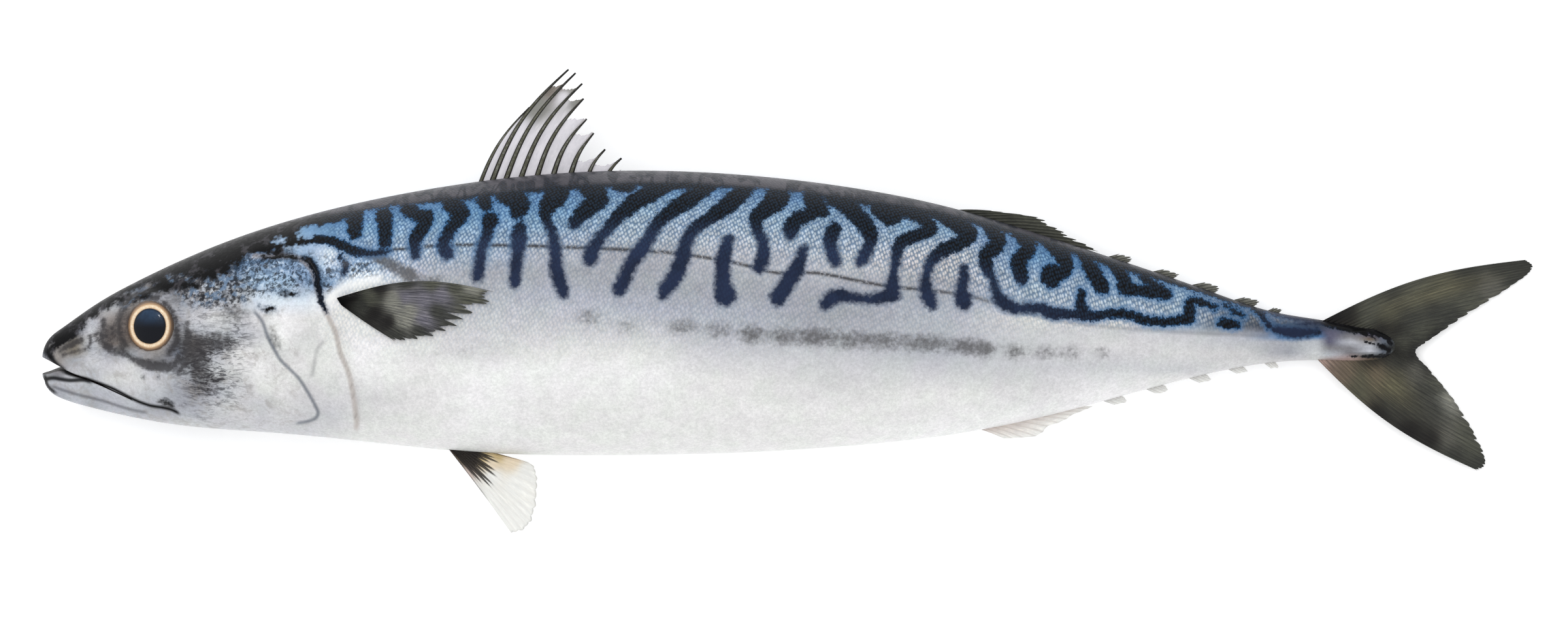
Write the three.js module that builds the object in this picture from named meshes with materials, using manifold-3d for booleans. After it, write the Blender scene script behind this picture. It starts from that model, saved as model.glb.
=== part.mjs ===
// An Atlantic mackerel, whole, lying on its right side: one body with its two eyes, fins and finlets.
// Side-view coordinates, in millimetres: x runs from the snout to the tail, y up to the back, and z out of
// the left flank. z = 0 is the surface that the fish lies on. y = 0 runs from the mouth to the tail's fork.
import * as THREE from "three";
import { mergeVertices } from "three/addons/utils/BufferGeometryUtils.js";
import Module from "manifold-3d";

const wasm = await Module();
wasm.setup();
const { Manifold, Mesh: SolidMesh } = wasm;
const MERGE_DISTANCE = 1e-4; // points closer than this are one point

// Driving dimensions.
const TOTAL_LENGTH = 340; // snout to the tip of the upper tail lobe
const DRAWN_LENGTH = 340; // the length that the tables below are drawn for
const SECTION_POWER = 2.15; // 2 is an ellipse, and more is a fuller flank
const SKIN_GAP = 0.35; // between the body and each piece that grows out of it

// The body's outline and widths, each as [x, value], joined by smooth curves.
const BACK_HEIGHT = [
  [0, 2.6], [4, 5.2], [11, 10.1], [23, 16.8], [41, 24.7], [64.5, 32.1], [88.5, 37.1], [112, 40.2],
  [136, 41.3], [160, 40.3], [184, 37.5], [207, 32.9], [228, 26.6], [249, 19.8], [267, 13.6],
  [280, 9.4], [291, 7.5], [301, 5.7], [309, 4.2],
];
const BELLY_HEIGHT = [
  [0, -8.2], [4, -10.2], [11, -12.4], [29, -16.1], [52.5, -18.1], [76.5, -20.4], [100, -22.6],
  [130, -23.2], [160, -22.6], [184, -21.1], [207, -18.6], [231, -13.8], [249, -9], [267, -4.5],
  [280, -2.3], [291, -1.8], [301, -2], [309, -1.5],
];
const HALF_WIDTH = [
  [0, 2.6], [4, 4], [12, 7.4], [22, 10.8], [36, 14.2], [52.5, 17.3], [72, 19.9], [100, 21.8],
  [130, 22.4], [160, 21.6], [190, 19], [220, 14.8], [245, 10.4], [267, 6.6], [280, 4.9], [291, 3.9],
  [301, 2.9], [309, 1.6],
];
const WIDEST_HEIGHT = [
  [0, -2.8], [12, -0.6], [36, 3.4], [72, 7.6], [110, 9.6], [150, 9.9], [190, 8.6], [230, 6.2],
  [267, 4.2], [291, 2.9], [309, 1.4],
];
// The backbone's height above the surface: the thick middle rests, and the tail sags down to it.
const SPINE_HEIGHT = [
  [0, 13], [20, 15.6], [45, 19.4], [68, 21.8], [100, 23], [125, 22.2], [150, 21.2], [180, 18.9],
  [210, 15.6], [240, 11.7], [270, 8], [300, 4.6], [325, 1.9], [340, 0.9],
];
const NOSE_CAP = 4; // length of the rounded snout
const NOSE_POWER = 3; // 2 is round, and more is blunter
const TAIL_CAP_START = 304;
const BODY_END = 309; // where the flesh ends inside the tail fin
const RING_SPACING = 7; // between the rings of points that make the skin
const RING_POINTS = 28;
const CAP_RINGS = 4; // in each rounded end

// The mouth: a wedge that is open at the snout and closes to a slit towards the corner of the jaw.
const MOUTH_UPPER = [[-2, -1.2], [4.6, -3.6], [12.8, -6.3], [21, -10]];
const MOUTH_LOWER = [[21.4, -10.6], [12.8, -7], [4.6, -4.5], [-2, -6]];
const MOUTH_CUT_LOW = -20; // the cut runs right across the head, from this z
const MOUTH_CUT_DEPTH = 60;

// The eyes, as flattened balls set in sockets square to the skin.
const EYE_X = 25.5;
const EYE_Y = 6;
const EYE_RADIUS = 6.2;
const EYE_HALF_THICKNESS = 3.4;
const EYE_PROUD = 0.9;
const EYE_PROFILE_STEPS = 8;
const EYE_SIDES = 20;

// Fins. bow is how far a ray's middle curves towards the fin's front.
const FIN_EMBED = 1.6; // how far a fin's root goes into the flesh before it is cut at the skin
const TIP_SHARE = 0.5; // a fin's thickness at its tips, as a share of its root's
const DORSAL_HALF_THICKNESS = 0.5;
const LOW_FIN_HALF_THICKNESS = 0.6;
const FINLET_HALF_THICKNESS = 0.55;
const TAIL_HALF_THICKNESS = 1.1;
// The fins on the back and belly have rays as [base x, tip x, tip y, bow], and their roots follow the skin.
const FIRST_DORSAL_SPINES = [
  [99.7, 111.2, 55.6, 1.4], [102.4, 120, 64.2, 2.4], [105.5, 121.6, 63.4, 2.2], [108.9, 123.1, 61, 2],
  [112.6, 123.4, 57.6, 1.6], [116.3, 124.1, 53, 1.2], [120.3, 125.7, 49.8, 0.8],
  [124.3, 128.3, 46.1, 0.5], [128.6, 132, 44.1, 0.3],
];
const SECOND_DORSAL_RAYS = [
  [205, 216, 32.3, 0.3], [210, 226.5, 30.8, 0.4], [216, 231, 28.3, 0.3], [223, 236, 25.6, 0.2],
  [231, 241, 22.9, 0.1],
];
const ANAL_RAYS = [
  [211, 219, -19.6, 0.2], [214, 225.5, -19.2, 0.4], [219, 230.5, -16.4, 0.3], [225, 235.5, -14.1, 0.2],
  [231.5, 239.5, -12.2, 0.1],
];
// Finlets as [root start, root end, tip x, tip y]. Each has a slanting front edge and a low hind corner.
const FINLET_SHOULDER = 0.62; // how far along towards the tip the front edge stops rising
const FINLET_HIND_CORNER = 0.25; // its height, as a share of the tip's
const FINLET_HIND_SETBACK = 0.6;
const DORSAL_FINLETS = [
  [240.6, 245, 248.2, 21.6], [250.6, 255.4, 258.8, 18], [259.6, 265, 268.2, 14.9],
  [269.4, 273.8, 277.2, 11.8], [277.6, 280.4, 282.6, 9.9],
];
const ANAL_FINLETS = [
  [239.6, 243.6, 247, -11.2], [249.6, 253.4, 256.4, -8.8], [259.4, 263.2, 266.2, -6.4],
  [268.4, 271.8, 274.6, -4.5], [277, 279.6, 281.8, -3.5],
];
// The tail and pectoral fins have rays as [base x, base y, tip x, tip y, bow].
const TAIL_RAYS = [
  [290.5, 6.6, 338.6, 21.2, 2.9], [296, 6, 340.1, 19.4, 1.8], [301, 5.2, 336.5, 16, 1],
  [304.5, 4.2, 326.3, 9.4, 0.5], [306.5, 2.6, 316.5, 2.9, 0.2], [307.3, 1.2, 313.2, 0, 0],
  [306.8, 0, 316.9, -4.5, -0.2], [304, -0.8, 322.5, -11.5, -0.5], [300, -1.4, 327.5, -19.8, -1.2],
  [295, -1.4, 329.3, -25.2, -1.8], [290, -1, 327.4, -27, -2.7],
];
const PECTORAL_RAYS = [
  [68.4, 12.2, 103.8, 13.6, 2.6], [68.6, 11.8, 102.8, 10.8, 1.6], [68.9, 11.2, 98, 8, 0.9],
  [69.2, 10.6, 94, 4.9, 0.2], [69.5, 10, 86.5, 2.9, -0.2], [69.8, 9.4, 81.6, 2.7, -0.6],
];
const PECTORAL_CLEARANCE = 0.45; // between the flank and the fin that lies along it
const PECTORAL_THICKNESS = 0.5;
const PELVIC_RAYS = [
  [92.2, 107.4, -41.3, 0.2], [93, 110.8, -39.8, 0.2], [94, 112.4, -35.5, 0.1], [95.2, 113, -29.6, 0],
  [96.6, 112, -25.6, 0], [98, 106.6, -23.6, 0],
];
const PELVIC_OFFSET = 2.6; // each pelvic fin's root, out from the midline
const PELVIC_HANG = { left: -0.08, right: -0.2 }; // how fast each one sinks as it goes out

// A natural cubic spline through [x, value] pairs, as a function of x.
function smoothCurve(points) {
  const n = points.length;
  const xs = points.map((p) => p[0]);
  const ys = points.map((p) => p[1]);
  const bend = new Array(n).fill(0);
  const factor = new Array(n).fill(0);
  for (let i = 1; i < n - 1; i++) {
    const share = (xs[i] - xs[i - 1]) / (xs[i + 1] - xs[i - 1]);
    const pivot = share * bend[i - 1] + 2;
    const slopes = (ys[i + 1] - ys[i]) / (xs[i + 1] - xs[i]) - (ys[i] - ys[i - 1]) / (xs[i] - xs[i - 1]);
    bend[i] = (share - 1) / pivot;
    factor[i] = ((6 * slopes) / (xs[i + 1] - xs[i - 1]) - share * factor[i - 1]) / pivot;
  }
  const second = new Array(n).fill(0);
  for (let i = n - 2; i > 0; i--) second[i] = bend[i] * second[i + 1] + factor[i];
  return (x) => {
    let i = 0;
    while (i < n - 2 && x > xs[i + 1]) i++;
    const h = xs[i + 1] - xs[i];
    const a = (xs[i + 1] - x) / h;
    const b = 1 - a;
    const curl = (a ** 3 - a) * second[i] + (b ** 3 - b) * second[i + 1];
    return a * ys[i] + b * ys[i + 1] + (curl * h * h) / 6;
  };
}

const backHeight = smoothCurve(BACK_HEIGHT);
const bellyHeight = smoothCurve(BELLY_HEIGHT);
const halfWidth = smoothCurve(HALF_WIDTH);
const widestHeight = smoothCurve(WIDEST_HEIGHT);
const spineHeight = smoothCurve(SPINE_HEIGHT);

// The section at x: its widest height, its half heights above and below that, and its half width.
function sectionAt(x, grow = 0) {
  const nose = x < NOSE_CAP ? (1 - (1 - x / NOSE_CAP) ** NOSE_POWER) ** (1 / NOSE_POWER) : 1;
  const along = (x - TAIL_CAP_START) / (BODY_END - TAIL_CAP_START);
  const tail = along > 0 ? Math.sqrt(Math.max(0, 1 - along ** 2)) : 1;
  const cap = nose * tail;
  const middle = widestHeight(x);
  return {
    middle,
    above: (backHeight(x) - middle) * cap + grow,
    below: (middle - bellyHeight(x)) * cap + grow,
    wide: halfWidth(x) * cap + grow,
    spine: spineHeight(x),
  };
}

// The skin's height over the surface at a side-view place, on the left (side 1) or right (side -1) flank.
function flankZ(x, y, side) {
  const s = sectionAt(x);
  const share = Math.min(1, Math.abs(y - s.middle) / (y > s.middle ? s.above : s.below));
  return s.spine + side * s.wide * (1 - share ** SECTION_POWER) ** (1 / SECTION_POWER);
}

function signedPower(value, power) {
  return Math.sign(value) * Math.abs(value) ** power;
}

// Where the skin's rings stand: closer together in the rounded ends.
function ringStations() {
  const capTurn = Math.PI / (2 * CAP_RINGS);
  const noseLength = (i) => NOSE_CAP * (1 - Math.cos(i * capTurn));
  const tailLength = (i) => (BODY_END - TAIL_CAP_START) * Math.sin(i * capTurn);
  const middle = TAIL_CAP_START - NOSE_CAP;
  const count = Math.round(middle / RING_SPACING);
  const stations = [];
  for (let i = 1; i <= CAP_RINGS; i++) stations.push(noseLength(i));
  for (let i = 1; i <= count; i++) stations.push(NOSE_CAP + (middle * i) / count);
  for (let i = 1; i < CAP_RINGS; i++) stations.push(TAIL_CAP_START + tailLength(i));
  return stations;
}

// A closed geometry from points and triangles.
function closedGeometry(points, triangles) {
  const geometry = new THREE.BufferGeometry();
  geometry.setAttribute("position", new THREE.Float32BufferAttribute(points.flat(), 3));
  geometry.setIndex(triangles.flat());
  return geometry;
}

// The body's skin as rings round the backbone, closed by a point at each end.
function bodyGeometry(grow) {
  const stations = ringStations();
  const points = [[-grow, sectionAt(0).middle, spineHeight(0)]];
  for (const x of stations) {
    const s = sectionAt(x, grow);
    for (let j = 0; j < RING_POINTS; j++) {
      const turn = (2 * Math.PI * j) / RING_POINTS;
      const up = signedPower(Math.cos(turn), 2 / SECTION_POWER);
      const out = signedPower(Math.sin(turn), 2 / SECTION_POWER);
      points.push([x, s.middle + up * (up > 0 ? s.above : s.below), s.spine + out * s.wide]);
    }
  }
  points.push([BODY_END + grow, sectionAt(BODY_END).middle, spineHeight(BODY_END)]);
  const triangles = [];
  const ring = (i, j) => 1 + i * RING_POINTS + (j % RING_POINTS);
  const last = stations.length - 1;
  for (let j = 0; j < RING_POINTS; j++) {
    triangles.push([0, ring(0, j + 1), ring(0, j)]);
    triangles.push([points.length - 1, ring(last, j), ring(last, j + 1)]);
    for (let i = 0; i < last; i++) {
      triangles.push([ring(i, j), ring(i + 1, j + 1), ring(i + 1, j)]);
      triangles.push([ring(i, j), ring(i, j + 1), ring(i + 1, j + 1)]);
    }
  }
  return closedGeometry(points, triangles);
}

// A solid from a closed geometry, with its faces turned outwards.
function toSolid(geometry) {
  const bare = geometry.clone();
  bare.deleteAttribute("normal");
  bare.deleteAttribute("uv");
  const merged = mergeVertices(bare, MERGE_DISTANCE);
  const vertProperties = new Float32Array(merged.attributes.position.array);
  const triVerts = new Uint32Array(merged.index.array);
  const solid = new Manifold(new SolidMesh({ numProp: 3, vertProperties, triVerts }));
  if (solid.volume() > 0) return solid;
  return new Manifold(new SolidMesh({ numProp: 3, vertProperties, triVerts: triVerts.reverse() }));
}

function toGeometry(solid) {
  const mesh = solid.getMesh();
  const geometry = new THREE.BufferGeometry();
  geometry.setAttribute("position", new THREE.BufferAttribute(mesh.vertProperties, 3));
  geometry.setIndex(new THREE.BufferAttribute(mesh.triVerts, 1));
  geometry.computeVertexNormals();
  return geometry;
}

// The mouth wedge as a slab right across the head.
function mouthSolid() {
  const corners = [...MOUTH_UPPER, ...MOUTH_LOWER].reverse();
  const outline = new THREE.Shape(corners.map(([x, y]) => new THREE.Vector2(x, y)));
  const slab = new THREE.ExtrudeGeometry(outline, { depth: MOUTH_CUT_DEPTH, bevelEnabled: false });
  slab.translate(0, 0, MOUTH_CUT_LOW);
  return toSolid(slab);
}

// The direction straight out of the skin at a side-view place.
function skinNormal(x, y, side) {
  const step = 1;
  const alongX = (flankZ(x + step, y, side) - flankZ(x - step, y, side)) / (2 * step);
  const alongY = (flankZ(x, y + step, side) - flankZ(x, y - step, side)) / (2 * step);
  return new THREE.Vector3(-alongX, -alongY, 1).normalize().multiplyScalar(side);
}

// An eye as a turned lens shape, square to the skin of its flank, grown to make its socket.
function eyeSolid(side, grow = 0) {
  const radius = EYE_RADIUS + grow;
  const half = EYE_HALF_THICKNESS + grow;
  const profile = [new THREE.Vector2(0, -half)];
  for (let i = 1; i < EYE_PROFILE_STEPS; i++) {
    const turn = Math.PI * (i / EYE_PROFILE_STEPS - 0.5);
    profile.push(new THREE.Vector2(radius * Math.cos(turn), half * Math.sin(turn)));
  }
  profile.push(new THREE.Vector2(0, half));
  const lens = new THREE.LatheGeometry(profile, EYE_SIDES);
  const outward = skinNormal(EYE_X, EYE_Y, side);
  const centre = new THREE.Vector3(EYE_X, EYE_Y, flankZ(EYE_X, EYE_Y, side));
  centre.addScaledVector(outward, EYE_PROUD - EYE_HALF_THICKNESS);
  lens.applyQuaternion(new THREE.Quaternion().setFromUnitVectors(new THREE.Vector3(0, 1, 0), outward));
  lens.translate(centre.x, centre.y, centre.z);
  return toSolid(lens);
}

// A ray is { base: [x, y], tip: [x, y], bow }, and t runs from 0 at its base to 1 at its tip.
function rayPoint(ray, t) {
  const [bx, by] = ray.base;
  const [tx, ty] = ray.tip;
  const length = Math.hypot(tx - bx, ty - by);
  const swell = (ray.bow * Math.sin(Math.PI * t)) / length;
  return [bx + (tx - bx) * t - (ty - by) * swell, by + (ty - by) * t + (tx - bx) * swell];
}

// Evenly spread rays between the drawn ones.
function spreadRays(rays, count) {
  const bases = new THREE.SplineCurve(rays.map((r) => new THREE.Vector2(...r.base)));
  const tips = new THREE.SplineCurve(rays.map((r) => new THREE.Vector2(...r.tip)));
  const bows = new THREE.SplineCurve(rays.map((r, i) => new THREE.Vector2(i, r.bow)));
  return Array.from({ length: count }, (_, i) => {
    const u = i / (count - 1);
    return { base: bases.getPoint(u).toArray(), tip: tips.getPoint(u).toArray(), bow: bows.getPoint(u).y };
  });
}

// A thin closed sheet over a fan of rays. layers(x, y, t) gives its [lower, upper] z.
function fanSolid(rays, count, steps, layers) {
  const points = [];
  for (const ray of spreadRays(rays, count)) {
    for (let k = 0; k <= steps; k++) {
      const [x, y] = rayPoint(ray, k / steps);
      const [low, high] = layers(x, y, k / steps);
      points.push([x, y, high], [x, y, low]);
    }
  }
  const last = count - 1;
  const at = (i, k, under) => 2 * (i * (steps + 1) + k) + under;
  const triangles = [];
  const quad = (a, b, c, d) => triangles.push([a, b, c], [a, c, d]);
  for (let i = 0; i < last; i++) {
    for (let k = 0; k < steps; k++) {
      quad(at(i, k, 0), at(i + 1, k, 0), at(i + 1, k + 1, 0), at(i, k + 1, 0));
      quad(at(i, k, 1), at(i, k + 1, 1), at(i + 1, k + 1, 1), at(i + 1, k, 1));
    }
    quad(at(i, 0, 0), at(i, 0, 1), at(i + 1, 0, 1), at(i + 1, 0, 0));
    quad(at(i, steps, 0), at(i + 1, steps, 0), at(i + 1, steps, 1), at(i, steps, 1));
  }
  for (let k = 0; k < steps; k++) {
    quad(at(0, k, 0), at(0, k + 1, 0), at(0, k + 1, 1), at(0, k, 1));
    quad(at(last, k, 0), at(last, k, 1), at(last, k + 1, 1), at(last, k + 1, 0));
  }
  return toSolid(closedGeometry(points, triangles));
}

// Layers for an upright fin on the midline or beside it, which may sink as it goes out from rootY.
function uprightLayers(rootHalf, offset = 0, hang = 0, rootY = 0) {
  return (x, y, t) => {
    const half = rootHalf * (1 - (1 - TIP_SHARE) * t);
    const middle = spineHeight(x) + offset + hang * Math.abs(y - rootY);
    return [middle - half, middle + half];
  };
}

const grownBody = toSolid(bodyGeometry(SKIN_GAP));

function cutAtSkin(solid) {
  return solid.subtract(grownBody);
}

// Rays whose roots lie inward of the back or belly edge.
function edgeRays(rows, edge, inward) {
  return rows.map(([x, tipX, tipY, bow]) => ({ base: [x, edge(x) + inward], tip: [tipX, tipY], bow }));
}

function freeRays(rows) {
  return rows.map(([x, y, tipX, tipY, bow]) => ({ base: [x, y], tip: [tipX, tipY], bow }));
}

function finletRays([start, end, tipX, tipY], edge, inward) {
  const lift = tipY - edge(tipX);
  const middle = (start + end) / 2;
  const shoulderX = start + FINLET_SHOULDER * (tipX - start);
  const hindX = tipX - FINLET_HIND_SETBACK;
  return edgeRays(
    [
      [start, shoulderX, edge(shoulderX) + lift, 0],
      [middle, tipX, tipY, 0],
      [end, hindX, edge(hindX) + FINLET_HIND_CORNER * lift, 0],
    ],
    edge,
    inward,
  );
}

function makeBody() {
  let body = toSolid(bodyGeometry(0)).subtract(mouthSolid());
  for (const side of [1, -1]) body = body.subtract(eyeSolid(side, SKIN_GAP));
  return body.trimByPlane([0, 0, 1], 0); // the flat patch that the flank rests on
}

function makeFirstDorsalFin() {
  const rays = edgeRays(FIRST_DORSAL_SPINES, backHeight, -FIN_EMBED);
  return cutAtSkin(fanSolid(rays, 17, 7, uprightLayers(DORSAL_HALF_THICKNESS)));
}

function makeLowFin(rows, edge, inward) {
  return cutAtSkin(fanSolid(edgeRays(rows, edge, inward), 10, 4, uprightLayers(LOW_FIN_HALF_THICKNESS)));
}

function makeFinlet(row, edge, inward) {
  return cutAtSkin(fanSolid(finletRays(row, edge, inward), 4, 3, uprightLayers(FINLET_HALF_THICKNESS)));
}

function makeTailFin() {
  return cutAtSkin(fanSolid(freeRays(TAIL_RAYS), 25, 8, uprightLayers(TAIL_HALF_THICKNESS)));
}

// A pectoral fin lies along its flank, just clear of the skin.
function makePectoralFin(side) {
  const layers = (x, y) => {
    const near = flankZ(x, y, side) + side * PECTORAL_CLEARANCE;
    const far = near + side * PECTORAL_THICKNESS;
    return [Math.min(near, far), Math.max(near, far)];
  };
  return fanSolid(freeRays(PECTORAL_RAYS), 11, 8, layers);
}

function makePelvicFin(side) {
  const rays = edgeRays(PELVIC_RAYS, bellyHeight, FIN_EMBED);
  const hang = side > 0 ? PELVIC_HANG.left : PELVIC_HANG.right;
  const rootY = bellyHeight(PELVIC_RAYS[0][0]);
  const layers = uprightLayers(LOW_FIN_HALF_THICKNESS, PELVIC_OFFSET * side, hang, rootY);
  return cutAtSkin(fanSolid(rays, 11, 7, layers));
}

const skin = new THREE.MeshStandardMaterial({ color: 0x8fa3b5, roughness: 0.3, metalness: 0.2 });
const eye = new THREE.MeshStandardMaterial({ color: 0x10141c, roughness: 0.08, metalness: 0 });
const darkFin = new THREE.MeshStandardMaterial({ color: 0x44443f, roughness: 0.4, metalness: 0 });
const paleFin = new THREE.MeshStandardMaterial({ color: 0xe6e2da, roughness: 0.4, metalness: 0 });

const fish = new THREE.Group();

function addPiece(name, solid, material) {
  const piece = new THREE.Mesh(toGeometry(solid), material);
  piece.name = name;
  fish.add(piece);
}

addPiece("body", makeBody(), skin);
addPiece("left_eye", eyeSolid(1), eye);
addPiece("right_eye", eyeSolid(-1), eye);
addPiece("first_dorsal_fin", makeFirstDorsalFin(), darkFin);
addPiece("second_dorsal_fin", makeLowFin(SECOND_DORSAL_RAYS, backHeight, -FIN_EMBED), darkFin);
addPiece("anal_fin", makeLowFin(ANAL_RAYS, bellyHeight, FIN_EMBED), paleFin);
DORSAL_FINLETS.forEach((row, i) => {
  addPiece(`dorsal_finlet_${i + 1}`, makeFinlet(row, backHeight, -FIN_EMBED), darkFin);
});
ANAL_FINLETS.forEach((row, i) => {
  addPiece(`anal_finlet_${i + 1}`, makeFinlet(row, bellyHeight, FIN_EMBED), paleFin);
});
addPiece("left_pectoral_fin", makePectoralFin(1), darkFin);
addPiece("right_pectoral_fin", makePectoralFin(-1), darkFin);
addPiece("left_pelvic_fin", makePelvicFin(1), paleFin);
addPiece("right_pelvic_fin", makePelvicFin(-1), paleFin);
addPiece("tail_fin", makeTailFin(), darkFin);

// The part's frame: its real size, with the origin under the middle of its box.
const box = new THREE.Box3().setFromObject(fish);
const centre = box.getCenter(new THREE.Vector3());
fish.position.set(-centre.x, -centre.y, -box.min.z);
const part = new THREE.Group();
part.add(fish);
part.scale.setScalar(TOTAL_LENGTH / DRAWN_LENGTH);

export default part;
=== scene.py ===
"""A whole raw Atlantic mackerel on a pale floor, with the camera looking straight down on it.

Shapes are drawn in side-view millimetres, as in the CAD model: x runs from the snout to the tail, y up to
the back and z out of the left flank, with z = 0 on the floor. to_frame() takes them to the frame, in metres.
"""
import math

import bpy
import numpy as np
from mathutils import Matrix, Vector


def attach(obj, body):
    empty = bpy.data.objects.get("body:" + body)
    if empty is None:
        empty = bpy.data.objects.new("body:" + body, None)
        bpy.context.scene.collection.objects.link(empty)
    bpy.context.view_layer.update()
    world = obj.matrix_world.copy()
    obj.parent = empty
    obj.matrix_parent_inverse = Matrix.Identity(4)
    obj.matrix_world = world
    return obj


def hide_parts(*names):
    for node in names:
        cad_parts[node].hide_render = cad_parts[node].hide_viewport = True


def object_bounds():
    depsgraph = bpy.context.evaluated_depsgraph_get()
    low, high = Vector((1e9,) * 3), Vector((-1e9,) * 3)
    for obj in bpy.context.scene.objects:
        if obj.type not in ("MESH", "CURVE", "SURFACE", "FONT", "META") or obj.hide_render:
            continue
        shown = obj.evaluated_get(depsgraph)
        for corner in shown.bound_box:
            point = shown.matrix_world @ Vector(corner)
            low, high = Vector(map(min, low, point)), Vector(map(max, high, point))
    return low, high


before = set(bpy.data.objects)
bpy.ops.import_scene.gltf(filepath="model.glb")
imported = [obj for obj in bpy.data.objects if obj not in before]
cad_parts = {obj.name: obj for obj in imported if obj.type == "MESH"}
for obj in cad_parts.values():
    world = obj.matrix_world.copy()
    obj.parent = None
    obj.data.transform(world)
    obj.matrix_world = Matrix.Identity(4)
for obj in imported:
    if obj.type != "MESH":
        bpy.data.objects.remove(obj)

CAD_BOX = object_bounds()

# The drawn millimetres that the CAD box's lowest and highest X, and lowest Y, stand for.
DRAWN_START = 0.1
DRAWN_END = 340.12
DRAWN_LOW = -41.3
UNIT = (CAD_BOX[1].x - CAD_BOX[0].x) / (DRAWN_END - DRAWN_START)

# --- The body's outline and widths, each as (x, value), joined by smooth curves ---------------------------
BACK_HEIGHT = [
    (0, 2.6), (4, 5.2), (11, 10.1), (23, 16.8), (41, 24.7), (64.5, 32.1), (88.5, 37.1), (112, 40.2),
    (136, 41.3), (160, 40.3), (184, 37.5), (207, 32.9), (228, 26.6), (249, 19.8), (267, 13.6), (280, 9.4),
    (291, 7.5), (301, 5.7), (309, 4.2),
]
BELLY_HEIGHT = [
    (0, -8.2), (4, -10.2), (11, -12.4), (29, -16.1), (52.5, -18.1), (76.5, -20.4), (100, -22.6),
    (130, -23.2), (160, -22.6), (184, -21.1), (207, -18.6), (231, -13.8), (249, -9), (267, -4.5),
    (280, -2.3), (291, -1.8), (301, -2), (309, -1.5),
]
HALF_WIDTH = [
    (0, 2.6), (4, 4), (12, 7.4), (22, 10.8), (36, 14.2), (52.5, 17.3), (72, 19.9), (100, 21.8),
    (130, 22.4), (160, 21.6), (190, 19), (220, 14.8), (245, 10.4), (267, 6.6), (280, 4.9), (291, 3.9),
    (301, 2.9), (309, 1.6),
]
WIDEST_HEIGHT = [
    (0, -2.8), (12, -0.6), (36, 3.4), (72, 7.6), (110, 9.6), (150, 9.9), (190, 8.6), (230, 6.2),
    (267, 4.2), (291, 2.9), (309, 1.4),
]
SPINE_HEIGHT = [
    (0, 13), (20, 15.6), (45, 19.4), (68, 21.8), (100, 23), (125, 22.2), (150, 21.2), (180, 18.9),
    (210, 15.6), (240, 11.7), (270, 8), (300, 4.6), (325, 1.9), (340, 0.9),
]
SECTION_POWER = 2.15
NOSE_CAP = 4
NOSE_POWER = 3
TAIL_CAP_START = 304
BODY_END = 309

# The skin's grid: finer round the head, and finer on the flank that shows most.
HEAD_END = 76
HEAD_STEP = 0.4
TRUNK_STEP = 0.62
CAP_STEPS = 10
LEFT_POINTS = 94
RIGHT_POINTS = 62

# --- The mouth, the eye and the lines of the head, as (x, y) -----------------------------------------------
MOUTH_UPPER = [(-2, -1.2), (1.4, -2.1), (4.6, -3.6), (8, -5), (12.8, -6.5), (17, -8.3), (21, -10.1)]
MOUTH_LOWER = [(21.3, -10.5), (17, -8.6), (12.8, -6.9), (8, -5.5), (4.6, -4.5), (1.4, -5.4), (-2, -6)]
MOUTH_SLANT = 0.12  # how fast the cut climbs as it goes in, so that its lower lip is seen from the side
MOUTH_MIDDLE = (10, -6)
MOUTH_REACH = (50, -30)  # how far the cut goes into the head and out of it

EYE = (25.5, 6.05)
EYE_RADIUS = 6.2
SOCKET_RADIUS = 5.55
SOCKET_DEPTH = 3.4
# Nostrils, as (x, y, depth).
NOSTRILS = [(12.9, 4.1, 0.5), (11.4, 3.1, 0.4)]
NOSTRIL_RADIUS = 0.5

GILL_EDGE = [
    (48, 22), (53, 21.8), (58, 21.8), (60.5, 20.8), (62.5, 19), (63.5, 16.5), (64, 14), (64.8, 11.5),
    (66, 9), (67, 7), (68, 5), (68.6, 2.5), (69.2, 0), (70, -2), (71, -4.5), (71.5, -7), (72, -10),
    (72.3, -13), (72.5, -16), (71.8, -18),
]
CHEEK_EDGE = [
    (49, 10), (51.5, 7), (52.5, 4), (54.3, 0.5), (55.5, -1.5), (57.5, -3.5), (59.5, -5.5), (61, -7.7),
    (62.3, -10), (63.3, -12), (63.8, -13.3), (63.4, -14.5), (61.5, -15.4), (58, -16),
]
LOWER_GILL_FOLD = [(66, 3.2), (64, 1), (63.3, -2), (62.8, -4.5), (62, -6)]
THROAT_FOLD = [(65, -13.8), (67, -16), (68.5, -17.7)]
MOUTH_LINE = [
    (4.5, -3.95), (6.7, -4.9), (10, -5.8), (13, -6.7), (16.5, -8), (18.5, -9), (21, -10.3), (23, -11.2),
    (25.5, -12), (28.2, -12.4), (30.5, -13), (32.6, -14.2),
]
UPPER_LIP = [(1, 1.6), (1.6, 0.2), (2.8, -1.7), (4.2, -3.2), (6.2, -4.6)]
LOWER_LIP = [(-0.6, -6.9), (0.9, -6.1), (2.8, -5.75), (4.8, -6.05), (7, -6.3), (10, -6.15), (12.5, -6.9)]
JAW_TIP = [(0.4, -4.2), (0.85, -5.6), (1.05, -6.6), (1.45, -7.6), (2.3, -8.5), (4, -9.6)]
JAW_FOLD = [(1.6, -7.4), (8, -9.4), (14, -10.8), (20, -12.7), (25, -13.7)]
LIP_PLATE_END = [(29, -11), (29.6, -9.4), (30.2, -8)]
LIP_PLATE = [(5, -1.6), (12, -2.2), (20, -5), (26, -6.6), (30, -7.6)]
LATERAL_LINE = [
    (65.7, 25.6), (73.3, 22.6), (79.8, 23.1), (87.8, 23.9), (94.4, 24.3), (106, 24.2), (117.2, 23.9),
    (133.5, 23.2), (145.4, 22.3), (158.2, 20.2), (167.3, 18), (176.4, 18), (191, 15.2), (203.7, 13.9),
    (213.5, 12.1), (230, 7.4), (250, 5.2), (280, 3.6),
]
FOLD_BAND = [(65.6, 9.8), (66.2, 11.4), (67.6, 13), (70, 14.8), (74.5, 16), (79.4, 16.7)]
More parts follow.
